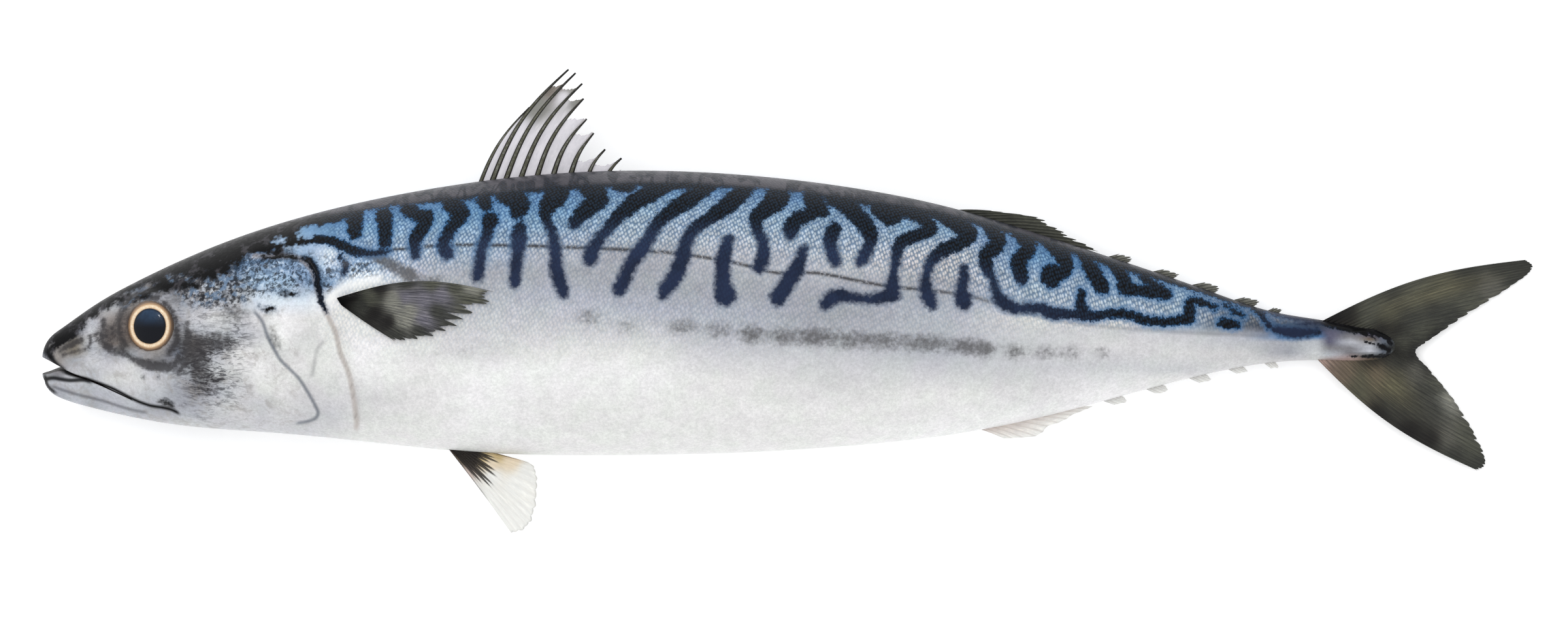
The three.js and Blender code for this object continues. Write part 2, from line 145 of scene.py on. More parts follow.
# The low keels on each side of the tail's root.
KEELS = [[(297, 4.1), (305, 4.7)], [(296, 0.4), (305, 0.6)]]

# How the skin rises beside these lines: line, fade at its ends, (rise, width) before it and the same behind.
RAISED_EDGES = [
    (GILL_EDGE, 4, (0.75, 5), (-0.45, 1.3)), (CHEEK_EDGE, 3, (0.3, 2.2), (-0.25, 0.9)),
    (LIP_PLATE, 1.5, (0.25, 4), (0.25, 0.8)), (FOLD_BAND, 1.5, (0.35, 1.2), (0.35, 1.2)),
    *[(keel, 2.5, (0.7, 0.7), (0.7, 0.7)) for keel in KEELS],
]
# Grooves in the skin: line, depth and width.
GROOVES = [
    (LOWER_GILL_FOLD, 0.12, 0.8), (THROAT_FOLD, 0.2, 0.7), (UPPER_LIP, 0.25, 0.45), (LOWER_LIP, 0.25, 0.4),
    (JAW_FOLD, 0.22, 0.8), (LIP_PLATE_END, 0.35, 0.7), (LATERAL_LINE, 0.08, 0.5), (MOUTH_LINE, 0.5, 0.5),
]
# Lines painted on the skin, lowest first: name, line, width, softness, strength and colour. The black lip
# lines and the mouth line are painted shade in the lip grooves and in the mouth's slit.
SKIN_LINES = [
    ("gill_line", GILL_EDGE, 1.1, 0.5, 0.6, "gill_brown"),
    ("cheek_line", CHEEK_EDGE, 0.6, 0.45, 0.75, "slate"),
    ("gill_fold", LOWER_GILL_FOLD, 0.5, 0.6, 0.4, "grey"),
    ("fold_line", JAW_FOLD, 0.5, 0.45, 0.6, "charcoal"),
    ("low_lip_line", LOWER_LIP, 0.95, 0.35, 0.95, "black"),
    ("jaw_tip", JAW_TIP, 0.8, 0.3, 0.95, "black"),
    ("lip_line", UPPER_LIP, 1.2, 0.5, 0.95, "black"),
    ("mouth_line", MOUTH_LINE, 0.75, 0.35, 1, "black"),
]

# --- The dark bars of the left flank, each a stroke of (x, y, radius) --------------------------------------
BARS = [
    [(72, 31.5, 1.4), (72.1, 28.5, 1.3), (72.2, 27, 1.1)],
    [(78.6, 31, 1.4), (78.9, 29, 1.2), (79.2, 27, 1.2), (79, 24.6, 1.2)],
    [(83.8, 32.6, 1), (86.2, 31, 1), (88.6, 30.9, 0.9), (88, 29, 1.2), (86.8, 27, 1.3), (85.8, 25, 1.2),
     (86, 23, 1), (86.1, 21.9, 0.8)],
    [(93.5, 33.5, 1.2), (96, 31.3, 1.6), (94.3, 28.5, 1.2), (93, 26, 1.4), (92.3, 24.2, 1.3),
     (93.2, 22.6, 1.5)],
    [(101.3, 34.2, 1.2), (101.8, 33.2, 0.9)],
    [(102.8, 29.8, 1.6), (102.4, 27.5, 1.1), (101.7, 25.5, 1.1), (101, 23.5, 1.1), (100.7, 21, 1.1),
     (100.3, 18.5, 1.1), (100, 17, 1.1)],
    [(105.5, 35.2, 1), (108.5, 34.6, 1.8), (109.5, 32.8, 1.6), (108.7, 31.6, 1.1)],
    [(109.6, 28.6, 0.9), (109.3, 26.5, 1.6), (109.2, 24, 1.4), (108.9, 21, 1.3), (108.6, 18, 1.2),
     (108.4, 15.8, 1.1)],
    [(117.5, 35.5, 2.2), (116, 33.3, 1.5), (115.2, 31.2, 1), (115.6, 29.6, 0.9), (116.6, 27.8, 0.95),
     (117, 25.8, 1.1), (117.5, 23.5, 1.2), (117.6, 20.5, 1.3), (118, 17.5, 1.4), (118.8, 15, 1.3),
     (119.5, 13.3, 0.9)],
    [(125.5, 36.8, 2), (126.8, 34.6, 1.9), (125, 32.6, 1.5), (123.2, 31, 1.5), (122.2, 29.8, 1.3),
     (121.6, 29.1, 1.2)],
    [(131.5, 37.8, 0.9), (133.6, 37.7, 1)],
    [(142, 37.6, 1.2), (138.5, 35.8, 1.3), (135, 33.7, 1.5), (132, 31, 1.3), (129.5, 28.3, 1.2),
     (127.3, 25.6, 1.2), (125.8, 23, 1.5), (125.3, 21.4, 1.6)],
    [(152, 37.6, 1), (149, 35.6, 1.3), (145.5, 33.2, 1.4), (142, 30.8, 1.3), (139.6, 28, 1.3),
     (138.3, 25.5, 1.3), (136.6, 23, 1.6), (134.6, 20.3, 1.4), (133.2, 17.2, 1.4), (131.9, 14.3, 1.4)],
    [(160.5, 37.4, 1.1), (158, 35, 1.4), (155.5, 32.6, 1.5), (152, 30.2, 1.2), (148.8, 28, 1.3),
     (147, 25.4, 1.3), (146.2, 22.4, 1.5), (145.2, 19.2, 1.6), (143.8, 16.4, 1.6), (142.2, 14.2, 1.4),
     (141.5, 12.6, 0.6)],
    [(156.3, 25.4, 1.2), (155.6, 23.2, 1.4), (155.2, 20.6, 1.6), (155.1, 17.5, 1.5), (155.2, 14.6, 1.9),
     (155.6, 13, 2.3)],
    [(167.6, 36.2, 2), (166.9, 34.3, 2.1), (164.6, 32.3, 1.3), (162.5, 30.2, 1.3), (162.8, 28, 1.1),
     (163.8, 25.5, 1.2), (164.3, 23, 1.3), (163.8, 20.8, 1.5), (163.2, 19.4, 1.3)],
    [(175.5, 34.8, 1.8), (176, 33, 1.5), (177.5, 32, 0.9)],
    [(176, 33, 1.5), (174.5, 31, 1), (172, 30, 1.3), (170.4, 28.2, 1.6), (170.2, 27, 1.4)],
    [(173.2, 23.4, 0.9), (172.6, 21.4, 1.2), (171.8, 19.2, 1.5), (170.4, 17, 1.6), (168.9, 14.6, 1.7),
     (167.4, 12.4, 1.7)],
    [(180, 27.8, 1.3), (179.4, 26.2, 1.5), (179.2, 24, 1.3), (180, 21.8, 1.3), (180.5, 20.6, 1.1)],
    [(179.4, 35, 1), (182.4, 33.6, 1.4), (185, 31.2, 1.4), (187, 28.8, 1.4), (188.4, 26.2, 1.4),
     (187.8, 23.8, 1.2), (186.7, 21.6, 1.3), (186, 20.7, 1.1)],
    [(178.2, 11, 1.3), (179.4, 12.4, 1.4), (181.6, 12.9, 1.4), (184.5, 12.5, 1), (188, 12.1, 1),
     (191.5, 12.7, 1.3), (193.4, 13.2, 1.4)],
    [(190, 32.6, 1), (192.6, 30.6, 1.5), (195, 31.9, 0.9), (198, 31.6, 1)],
    [(198.8, 31.8, 1), (200.6, 30, 0.9), (202, 28.2, 0.9), (200.6, 27, 0.9), (197.6, 26, 1),
     (195.2, 24.8, 1.2), (194.2, 22.6, 1.2), (193.8, 20.2, 1), (193.4, 17.8, 0.8), (193.2, 15.4, 1.3),
     (193.3, 13.4, 1.5)],
    [(202.6, 32, 0.8), (206, 30.2, 1), (209.3, 28.2, 1.2), (211, 27.2, 1), (209.8, 25.6, 1.1),
     (206.8, 24, 1.2), (203.8, 22.4, 1.3), (201.8, 20.4, 1.1), (200.9, 17.8, 0.9), (200.7, 15, 1.3),
     (201.2, 12.8, 1.5), (202.2, 10.9, 1.1)],
    [(209.4, 19, 0.8), (209.3, 16.5, 1.1), (209, 14, 1.2), (209.2, 12.2, 1.8), (209.6, 10.8, 1.2)],
    [(215.2, 29.2, 1.1), (216.3, 27.3, 1.2), (217.4, 25.3, 1.2), (216.2, 23.6, 1.3), (214.6, 22.2, 1.3),
     (214.2, 20.6, 1.3), (214.8, 18.8, 1.2), (215.8, 17, 0.9), (216.3, 15, 0.8), (217, 13, 1.2),
     (218.5, 11.3, 1.5), (221, 10, 1), (224, 10.2, 1), (227.5, 9.8, 1.2), (230, 8.8, 1.2), (232, 9, 1),
     (235, 8.6, 1), (239, 8.3, 1), (243, 8.9, 1), (247, 8.7, 1), (250, 7.6, 1), (254, 7, 1), (258, 7.2, 1),
     (260.5, 8, 1)],
    [(236.1, 13.4, 0.8), (236.1, 11.5, 1), (236.1, 9.4, 1.7)],
    [(221.8, 27, 0.8), (223.6, 25.4, 1.2), (224.3, 23.8, 1.2), (223, 22.2, 1.2), (222, 20.6, 1.5),
     (222, 18.6, 1.5), (222.6, 16.8, 1.4)],
    [(229, 24.4, 0.8), (231, 22.8, 1.1), (232.6, 20.6, 1.2), (232.7, 18.8, 1), (231, 17.8, 1.4),
     (229, 17.5, 2), (229.2, 16.3, 1.6)],
    [(236.6, 22.2, 0.7), (238.2, 19.6, 1.2), (239.8, 16.8, 1.3), (240.9, 14.6, 1.3)],
    [(242.6, 21, 0.6), (244.8, 18.6, 0.9), (246, 16.4, 1.1), (246.2, 14.8, 1.4), (249.5, 14.2, 0.9),
     (253, 13.6, 1.2), (256, 13, 0.8)],
    [(250.6, 17, 0.5), (253.2, 15.2, 0.7), (255.6, 13.6, 0.9)],
    [(267, 10.2, 0.6), (264, 11.4, 0.8), (261.4, 11.8, 0.9), (261, 9.6, 1.2), (260.8, 7.8, 1.3)],
    [(268, 6.8, 0.8), (270, 6.7, 1.3), (272, 6.2, 0.8)],
    [(269, 11, 0.5), (271.5, 9.4, 0.7), (273.4, 8.4, 0.7)],
    [(276, 10, 0.6), (278, 8, 0.8), (279.4, 6, 0.9)],
    [(280.4, 5.4, 0.8), (283, 4.7, 1.4), (287, 4.5, 1.3), (290.6, 4.6, 0.7)],
    [(286, 6.4, 0.25), (289, 6.6, 0.4), (292, 7, 0.7), (295, 7, 1.3), (298, 5.8, 0.8), (301, 5.6, 0.5),
     (304, 4.9, 0.5), (306.4, 3.6, 0.5), (307.4, 1.8, 0.6)],
    [(295.5, 5.2, 0.2), (298.5, 4.9, 0.4), (301, 4.2, 0.45), (303.4, 3.5, 0.3)],
    [(301.6, 2.4, 0.2), (303.4, 1.9, 0.35), (305.4, 1.2, 0.5), (307, 0.4, 0.6)],
    [(297.6, -0.8, 0.15), (301, -0.9, 0.25), (304.6, -0.9, 0.4), (307, -0.6, 0.6)],
]
BAR_SWELL = (0.3, 0.75)  # added to the bars' radii low on the flank and near the back
# Where the dark of the back begins, as (x, depth below the back's outline).
BACK_BAND = [
    (0, 2.4), (12, 2.8), (24, 3.4), (36, 4.4), (50, 5.2), (60, 4.2), (68, 3), (82, 2.9), (90, 3.8),
    (112, 4.2), (122, 4.4), (136, 3.9), (145, 4.4), (154, 3.7), (186, 3.7), (196, 4.3), (203, 3.4),
    (240, 2.5), (262, 1.6), (275, 1.1), (290, 1.3), (309, 1.5),
]
# How far the painted grey sheen along the very top of the back reaches down, as (x, depth).
SHEEN_BAND = [
    (0, -1), (50, 0), (66, 1.2), (80, 2.4), (112, 3.1), (150, 2.7), (190, 2.2), (215, 1.2), (240, 0.8),
    (309, 0),
]
# Dark strokes on the head and nape, as (x, y, radius).
HEAD_MARKS = [
    [(2.4, 0.9, 0.7), (3.6, 2.2, 1.1), (5.6, 3.8, 1.4), (7.8, 5.6, 1.5), (9.2, 6.9, 0.9)],
    [(1.8, 2.7, 0.3), (6, 6.2, 0.35), (10, 8.3, 0.5), (15, 10.6, 0.6), (20, 12.7, 0.6), (24, 14.4, 0.9),
     (28, 15.6, 1.9), (31, 15.4, 1.2), (36, 15.3, 0.7)],
    [(21, 12.4, 0.5), (23.5, 12.7, 0.6), (25, 13.6, 0.4)],
    [(26, 16.5, 1.2), (31, 19, 1), (36, 20, 1.5), (41, 20.8, 1.8), (45, 22, 2.4), (49, 23.9, 1.9),
     (53, 24.2, 1.2), (57, 25.8, 1.4), (61.5, 25.4, 0.8), (66, 25.5, 0.9), (69, 24.4, 1.1), (72, 23, 1.1),
     (76, 22.4, 0.8), (80, 22.8, 0.5)],
    [(33, 17.6, 0.9), (37, 17.8, 1.3), (41, 18.4, 1.2), (45.6, 20, 0.7)],
    [(50, 21.6, 0.9), (54, 22.4, 1), (58, 22.2, 0.9), (61.2, 21.4, 0.8), (63.4, 18.8, 0.7),
     (64.1, 15.4, 0.65), (64.6, 12.2, 0.5), (66, 9.4, 0.25)],
    [(69, 21.7, 0.5), (70.3, 20, 0.7), (69.8, 17.8, 0.5)],
    [(53, 13.95, 0.2), (56.5, 13.5, 0.24), (59.8, 13, 0.18)],
    [(51, 10.2, 0.14), (54.5, 9.8, 0.16)],
    [(27.6, -10.9, 0.15), (29, -11.2, 0.55), (30.6, -12.2, 0.3)],
    [(24.1, -5.6, 0.14), (24.2, -5.7, 0.12)],
    [(27.3, -5.6, 0.14), (27.4, -5.6, 0.12)],
    [(60, 32, 1.2), (66, 33, 0.8)],
    [(0.6, 1.6, 0.5), (1.2, 0.4, 0.6), (2.2, -0.8, 0.4)],
    [(55, 27.4, 0.8), (61, 29.8, 1), (66, 30.2, 0.9), (70, 31, 1)],
]
# Blue patches that interrupt the black on the head and nape: (x, y, half length, half height, tilt).
BLUE_PATCHES = [
    (61.6, 27.3, 2.6, 1.3, 0.2), (55.2, 25.2, 1.4, 0.7, 0.2), (61.5, 23.2, 4, 1.3, 0.05),
    (49.6, 21.3, 2.3, 0.9, 0.2), (31.8, 17.1, 2.1, 0.8, 0.1), (22.6, 14, 2.6, 0.45, 0.42),
    (45.5, 17.8, 2.6, 1.3, 0.3), (49, 17.6, 2, 1.6, 0.3), (40.5, 14.2, 3, 0.8, -0.1),
    (67.4, 21.6, 1.1, 1.8, 0.1), (74, 20.4, 3, 0.9, -0.15),
]

# --- Colours, as sRGB values out of 255 --------------------------------------------------------------------
PALETTE = {
    "black": (8, 8, 10), "soot": (50, 48, 50), "dusk": (84, 83, 84), "night": (18, 21, 28),
    "charcoal": (66, 67, 73), "slate": (96, 103, 114), "grey": (128, 128, 131),
    "warm_grey": (152, 147, 143), "dull_silver": (166, 169, 175), "silver": (186, 189, 195),
    "light_silver": (204, 205, 207), "white_grey": (216, 216, 215), "white": (229, 229, 226),
    "bright": (241, 241, 239), "belly": (234, 234, 231), "stalk_grey": (205, 205, 204),
    "socket_brown": (112, 102, 96), "snout_brown": (130, 122, 108), "gill_brown": (176, 164, 156),
    "gill_blue": (122, 150, 182), "pale_gill_blue": (165, 190, 215), "ice": (216, 227, 237),
    "deep_blue": (78, 120, 162), "blue": (112, 150, 184), "mid_blue": (136, 162, 186),
    "pale_blue": (160, 177, 194), "lilac": (179, 183, 193), "teal": (37, 86, 131),
    # The next line holds the grey of the painted sheen along the back and on the head's black.
    "sheen_grey": (86, 84, 90), "indigo": (34, 44, 70), "violet": (92, 92, 112), "gold": (226, 196, 160),
    # The next line holds the pupil's painted reflection, the lighter blue at its top.
    "dark_gold": (158, 120, 84), "eye_rim": (108, 91, 78), "pupil": (6, 9, 18), "pupil_reflection": (44, 66, 92),
    # The next line holds the mouth lining's dark colour, painted shade inside the mouth.
    "lining_shade": (52, 42, 40), "fin_dark": (52, 53, 49), "fin_mid": (74, 75, 66), "fin_olive": (80, 79, 65),
    "fin_gold": (140, 132, 96), "fin_pale": (126, 126, 118), "fin_violet": (104, 102, 112),
    "fin_grey": (92, 91, 84), "fin_brown": (104, 92, 78), "fin_pink": (176, 152, 144),
    "fin_black": (22, 20, 19), "membrane": (226, 223, 229), "clear_white": (243, 243, 239),
    "cream": (240, 224, 198), "straw": (212, 190, 142), "umber": (62, 46, 38), "blush": (214, 196, 188),
}
# Colours of the skin between its bars and marks, in columns from the back to the belly: x, then (y, colour).
SKIN_COLUMNS = [
    (0, [(4, "grey"), (0, "slate"), (-4, "grey"), (-7, "silver")]),
    (4, [(6, "grey"), (4, "slate"), (1, "warm_grey"), (-2, "warm_grey"), (-5, "grey"), (-7, "silver"),
     (-10, "dull_silver")]),
    (8, [(8, "warm_grey"), (5, "slate"), (2.5, "snout_brown"), (0, "snout_brown"), (-1.6, "dull_silver"),
     (-5, "light_silver"), (-8, "silver"), (-11, "silver")]),
    (12, [(9, "grey"), (7, "silver"), (4, "light_silver"), (1, "silver"), (-2, "light_silver"),
     (-5, "silver"), (-9, "silver"), (-12, "dull_silver")]),
    (16, [(12, "grey"), (10, "silver"), (8, "warm_grey"), (5, "socket_brown"), (2, "socket_brown"),
     (0, "dull_silver"), (-3, "light_silver"), (-6, "white_grey"), (-9, "silver"), (-13, "silver")]),
    (21, [(14, "slate"), (12, "warm_grey"), (9, "socket_brown"), (2, "socket_brown"),
     (-0.5, "dull_silver"), (-3, "white_grey"), (-6, "white_grey"), (-9, "light_silver"), (-12, "silver"),
     (-15, "silver")]),
    (27, [(15, "charcoal"), (12.8, "dull_silver"), (9, "warm_grey"), (1, "warm_grey"), (-2, "grey"),
     (-4, "silver"), (-6, "light_silver"), (-11, "silver"), (-13, "dull_silver"), (-16, "light_silver")]),
    (32, [(16, "charcoal"), (13, "grey"), (9, "dull_silver"), (4, "grey"), (0, "slate"), (-4, "silver"),
     (-8, "dull_silver"), (-11, "dull_silver"), (-14, "silver"), (-16, "light_silver")]),
    (36, [(17, "charcoal"), (14, "silver"), (12, "dull_silver"), (8, "light_silver"), (5, "silver"),
     (2, "warm_grey"), (-3, "dull_silver"), (-8, "grey"), (-11, "dull_silver"), (-14, "silver"),
     (-16, "light_silver")]),
    (41, [(18, "slate"), (15, "slate"), (12, "silver"), (8, "white_grey"), (4, "silver"), (0, "silver"),
     (-4, "light_silver"), (-9, "silver"), (-12, "light_silver"), (-16, "light_silver")]),
    (46, [(20, "gill_blue"), (16, "slate"), (12, "dull_silver"), (8, "light_silver"), (4, "silver"),
     (0, "white"), (-4, "white_grey"), (-8, "light_silver"), (-13, "white_grey"), (-17, "light_silver")]),
    (51, [(21, "gill_blue"), (16, "pale_gill_blue"), (12, "ice"), (8, "white_grey"), (4, "light_silver"),
     (0, "white"), (-4, "bright"), (-8, "white"), (-11, "light_silver"), (-17, "light_silver")]),
    (56, [(23, "pale_gill_blue"), (20, "gill_blue"), (16, "pale_gill_blue"), (12, "ice"), (8, "bright"),
     (4, "bright"), (0, "white_grey"), (-4, "white"), (-8, "white"), (-12, "white_grey"),
     (-18, "light_silver")]),
    (61, [(28, "blue"), (24, "pale_gill_blue"), (19, "gill_blue"), (16, "gill_blue"), (12, "ice"),
     (8, "white"), (3, "white_grey"), (-2, "white"), (-8, "white_grey"), (-18, "light_silver")]),
    (67, [(31, "deep_blue"), (27, "blue"), (22, "ice"), (18, "pale_gill_blue"), (15, "gill_blue"),
     (12.5, "bright"), (9, "white"), (3, "white"), (-3, "white"), (-9, "white_grey"),
     (-14, "light_silver"), (-19, "white_grey")]),
    (74, [(33, "deep_blue"), (29, "blue"), (25, "mid_blue"), (20, "pale_gill_blue"), (17, "ice"),
     (14, "bright"), (8, "white"), (2, "bright"), (-4, "bright"), (-10, "white_grey"), (-20, "white")]),
    (88, [(36, "deep_blue"), (31, "blue"), (27, "mid_blue"), (23, "pale_blue"), (18, "lilac"),
     (12, "white_grey"), (5, "white_grey"), (-3, "white"), (-13, "white"), (-22, "belly")]),
    (100, [(37, "deep_blue"), (31, "blue"), (27, "mid_blue"), (22, "pale_blue"), (18, "dull_silver"),
     (13, "silver"), (6, "light_silver"), (0, "white_grey"), (-4, "bright"), (-14, "bright"),
     (-23, "belly")]),
    (116, [(37, "deep_blue"), (32, "blue"), (28, "mid_blue"), (22, "lilac"), (18, "dull_silver"),
     (13, "lilac"), (6, "light_silver"), (0, "white"), (-4, "bright"), (-12, "belly"), (-23, "belly")]),
    (136, [(38, "deep_blue"), (33, "mid_blue"), (28, "pale_blue"), (22, "dull_silver"),
     (16, "dull_silver"), (10, "lilac"), (5, "light_silver"), (0, "white"), (-5, "bright"), (-13, "belly"),
     (-23, "belly")]),
    (155, [(37, "deep_blue"), (33, "mid_blue"), (28, "pale_blue"), (22, "silver"), (14, "dull_silver"),
     (9, "lilac"), (5, "silver"), (0, "light_silver"), (-6, "white"), (-14, "belly"), (-22, "belly")]),
    (180, [(35, "deep_blue"), (30, "mid_blue"), (25, "pale_blue"), (19, "silver"), (13, "dull_silver"),
     (8, "dull_silver"), (4, "silver"), (-1, "light_silver"), (-7, "white_grey"), (-13, "belly"),
     (-21, "belly")]),
    (205, [(31, "blue"), (27, "mid_blue"), (22, "silver"), (16, "dull_silver"), (11, "lilac"),
     (5, "silver"), (0, "silver"), (-4, "light_silver"), (-9, "white"), (-18, "bright")]),
    (225, [(26, "deep_blue"), (21, "blue"), (17, "pale_blue"), (13, "pale_blue"), (8, "white_grey"),
     (3, "light_silver"), (-3, "light_silver"), (-8, "white_grey"), (-15, "bright")]),
    (243, [(20, "deep_blue"), (16, "mid_blue"), (11, "pale_blue"), (6.5, "light_silver"),
     (2, "white_grey"), (-3, "light_silver"), (-9, "bright")]),
    (258, [(14, "mid_blue"), (10, "pale_blue"), (6, "pale_blue"), (4, "light_silver"), (0, "white_grey"),
     (-4, "light_silver"), (-6, "white")]),
    (272, [(10, "slate"), (6, "slate"), (3.6, "silver"), (0, "stalk_grey"), (-3, "white_grey")]),
    (284, [(8, "grey"), (6.4, "charcoal"), (5, "indigo"), (3.4, "deep_blue"), (2.4, "dull_silver"),
     (0, "dull_silver"), (-2, "stalk_grey")]),
    (290, [(8, "grey"), (6.2, "charcoal"), (5, "indigo"), (3.6, "deep_blue"), (2.6, "silver"),
     (0, "light_silver"), (-2, "stalk_grey")]),
    (293, [(8, "fin_black"), (6, "charcoal"), (4.6, "violet"), (2.4, "violet"), (1, "grey"),
     (-0.6, "silver"), (-2, "fin_pink")]),
    (298, [(7, "fin_black"), (5, "charcoal"), (3.6, "grey"), (2.4, "silver"), (1, "grey"), (0, "grey"),
     (-1.6, "fin_pink")]),
    (302.5, [(6, "fin_black"), (4.4, "violet"), (3, "fin_brown"), (1.4, "silver"), (0.2, "silver"),
     (-0.8, "fin_dark"), (-1.6, "fin_brown")]),
    (305.5, [(4.6, "violet"), (2.4, "slate"), (1, "fin_black"), (0.2, "slate"), (-1, "fin_dark")]),
    (309, [(4, "fin_dark"), (1, "fin_dark"), (-1, "fin_olive")]),
]
# Soft grey marks, most of them the skin's own grey, but those round the eye socket are painted shade, as (x,
# y, half length, half height, tilt, strength).
SMUDGES_AND_SOCKET_SHADE = [
    (30, 4, 2.6, 8, 0.05, 0.14), (20.3, 7, 2.4, 5, 0, 0.42), (25.5, 12.6, 4, 1.2, 0.1, 0.4),
    (13.5, 6.4, 2, 2.4, 0.4, 0.12), (16.6, 4.6, 1.5, 3, 0.1, 0.62), (26.5, -2.7, 4.4, 1.2, -0.12, 0.62),
    (31.9, 3.4, 1.3, 4.4, 0.1, 0.34), (21, 12.6, 3.4, 0.9, 0.35, 0.5), (19.3, 1.2, 1.6, 1.4, 0, 0.5),
    (7.5, 2.2, 2.6, 0.8, 0.45, 0.45), (36, 0.8, 2.8, 4, 0.1, 0.95), (41, 2.2, 4.4, 2.4, -0.05, 0.85),
    (37, -3.4, 3, 3.2, 0.3, 0.7), (39, -7, 3.8, 2.6, 0.3, 0.55), (46, 8.5, 3.4, 2.4, 0, 0.3),
    (47, 2.5, 2.6, 2.6, 0, 0.26), (54.2, 3, 1.6, 3.4, 0.35, 0.5), (43.5, 9, 3.4, 2.2, -0.3, 0.3),
    (38, 12, 3.6, 2.2, 0.1, 0.5), (44, 13.4, 4, 1.6, 0.3, 0.4), (34.6, 14.4, 2, 0.8, 0.1, 0.3),
    (37, -14.8, 1.9, 0.6, -0.5, 0.4), (33, -11.8, 1.6, 0.8, 0, 0.35), (38, -9.2, 4, 0.9, 0.15, 0.35),
    (41, -6, 3.6, 0.7, -0.2, 0.25), (45.5, -6.2, 0.6, 0.7, 0, 0.35), (32, -5, 1.4, 1.6, 0.6, 0.25),
    (47, 6, 2.4, 1, -0.4, 0.2), (75.5, 22.4, 3.4, 1.2, -0.35, 0.9), (80, 20.2, 3.8, 1.4, -0.4, 0.95),
    (84.4, 17.8, 3, 1.6, -0.3, 0.95), (90, 16.6, 3, 1, 0.1, 0.6), (131.8, 12.4, 2.2, 2.2, 0, 0.2),
    (142, 12, 2, 1.8, 0, 0.24), (120, 11.6, 1.6, 2, 0, 0.18),
]
# The row of blurred blotches along the flank, as (x, y, half length, strength), in a wide faint band.
FLANK_BLOTCHES = [
    (90.5, -0.2, 1.6, 0.2), (97.5, 0.3, 2.4, 0.26), (109, -0.5, 4.8, 0.18), (125, 8.2, 3.2, 0.46),
    (133.5, 5.8, 3, 0.34), (146, 6, 3.8, 0.46), (154, 5.2, 2.8, 0.42), (161.6, 4.2, 2.8, 0.62),
    (168.6, 3.7, 3, 0.5), (176, 3.6, 4.2, 0.7), (184, 2.9, 3.6, 0.52), (191, 2.9, 3.8, 0.48),
    (201, 2.3, 5.4, 0.58), (210, 1.5, 3.6, 0.62), (214.4, 0.8, 2.2, 0.64), (221, 0.2, 2.4, 0.5),
    (228, 0, 3.2, 0.4), (234, 0, 2.8, 0.36), (241, 0, 2.4, 0.36),
]
BLOTCH_HALF_HEIGHT = 1.9
BLOTCH_BAND = (184, 3, 42, 3.4, -0.07, 0.27)
# Where the nape is speckled black, and the cheek streaked with grey, as for the smudges.
NAPE_PATCHES = [
    (46, 17, 11, 4.6, 0.15, 0.9), (39, 15, 6.5, 3.6, 0.2, 0.9), (57, 17.5, 7, 4.6, 0, 0.6),
    (66, 17, 3, 4, 0, 0.6), (73, 19, 6, 2.4, -0.1, 0.55), (52, 21, 9, 2.6, 0, 1), (31, 17, 5, 2, 0.3, 0.8),
    (22, 12.4, 4, 1.4, 0.4, 0.5), (44, 12, 4, 2, 0, 0.4),
]
CHEEK_PATCHES = [
    (39, -4, 7, 10, 0.3, 1), (12, 3, 5, 5, 0.4, 0.4), (38, 11, 5, 3, 0, 0.7), (46, 4, 4, 6, 0, 0.6),
    (27, 8, 9, 8, 0, 0.4),
]
# Dark soft-edged strokes round the eye socket and the nostrils, painted shade in and round those hollows, as
# (x, y, radius).
SOCKET_MARKS = [
    [(14, 4.2, 0.5), (15, 2, 0.7), (17, 0.4, 0.6), (20, -0.5, 0.4), (23, -2, 0.6), (26, -3, 0.9),
     (29, -3.2, 0.9), (31, -2.8, 0.7), (32.4, -1.5, 0.5)],
    [(20, 11.2, 0.5), (22.6, 12.4, 0.6), (25, 12.6, 0.35), (27, 12.3, 0.3)],
    [(19.4, 10.4, 0.5), (18.4, 8.6, 0.4), (18.2, 6.6, 0.5), (18.6, 4, 0.4), (19.6, 2, 0.4)],
    [(28.6, 11.4, 0.35), (30.6, 9.4, 0.4), (31.4, 7, 0.35), (31.8, 4.5, 0.3), (31.3, 2, 0.4),
     (30, 0, 0.5)],
    [(34, 6.6, 0.3), (34.2, 3, 0.4), (33.8, 0, 0.5), (33.4, -2.4, 0.6), (32.6, -4, 0.5)],
    [(14.6, 7.4, 0.35), (14.6, 5.4, 0.4), (15, 3.6, 0.4)],
    [(13.2, 4.6, 0.25), (12.7, 3.6, 0.3), (13.6, 2.8, 0.25)],
    [(11.4, 3.6, 0.3), (11.7, 2.6, 0.25), (11.2, 1.2, 0.2)],
    [(4.6, 0.4, 0.3), (7, 1.6, 0.4), (9.6, 2.8, 0.3)],
    [(5, -0.6, 0.2), (8, 0.2, 0.25), (10.4, 0.8, 0.2)],
]

# --- The eyes ----------------------------------------------------------------------------------------------
EYE_RINGS = [0, 0.6, 1.4, 2.2, 3, 3.5, 3.72, 3.95, 4.3, 4.7, 5, 5.3, 5.7, 6.1, 6.2]
EYE_SPOKES = 64
EYE_DEPTH = 3.4  # of the dome above the eye's own middle
EYE_SINK = 2.55  # of the eye's own middle below the skin
EYE_BACK = 0.7  # how deep the rear of the eyeball is, as a share of its dome
EYE_TALL = 1.07  # the pupil is a little taller than it is long
EYE_SLOPE_REACH = 4  # the skin's slope under the eye is measured this far to each side
PUPIL_RADIUS = 3.75

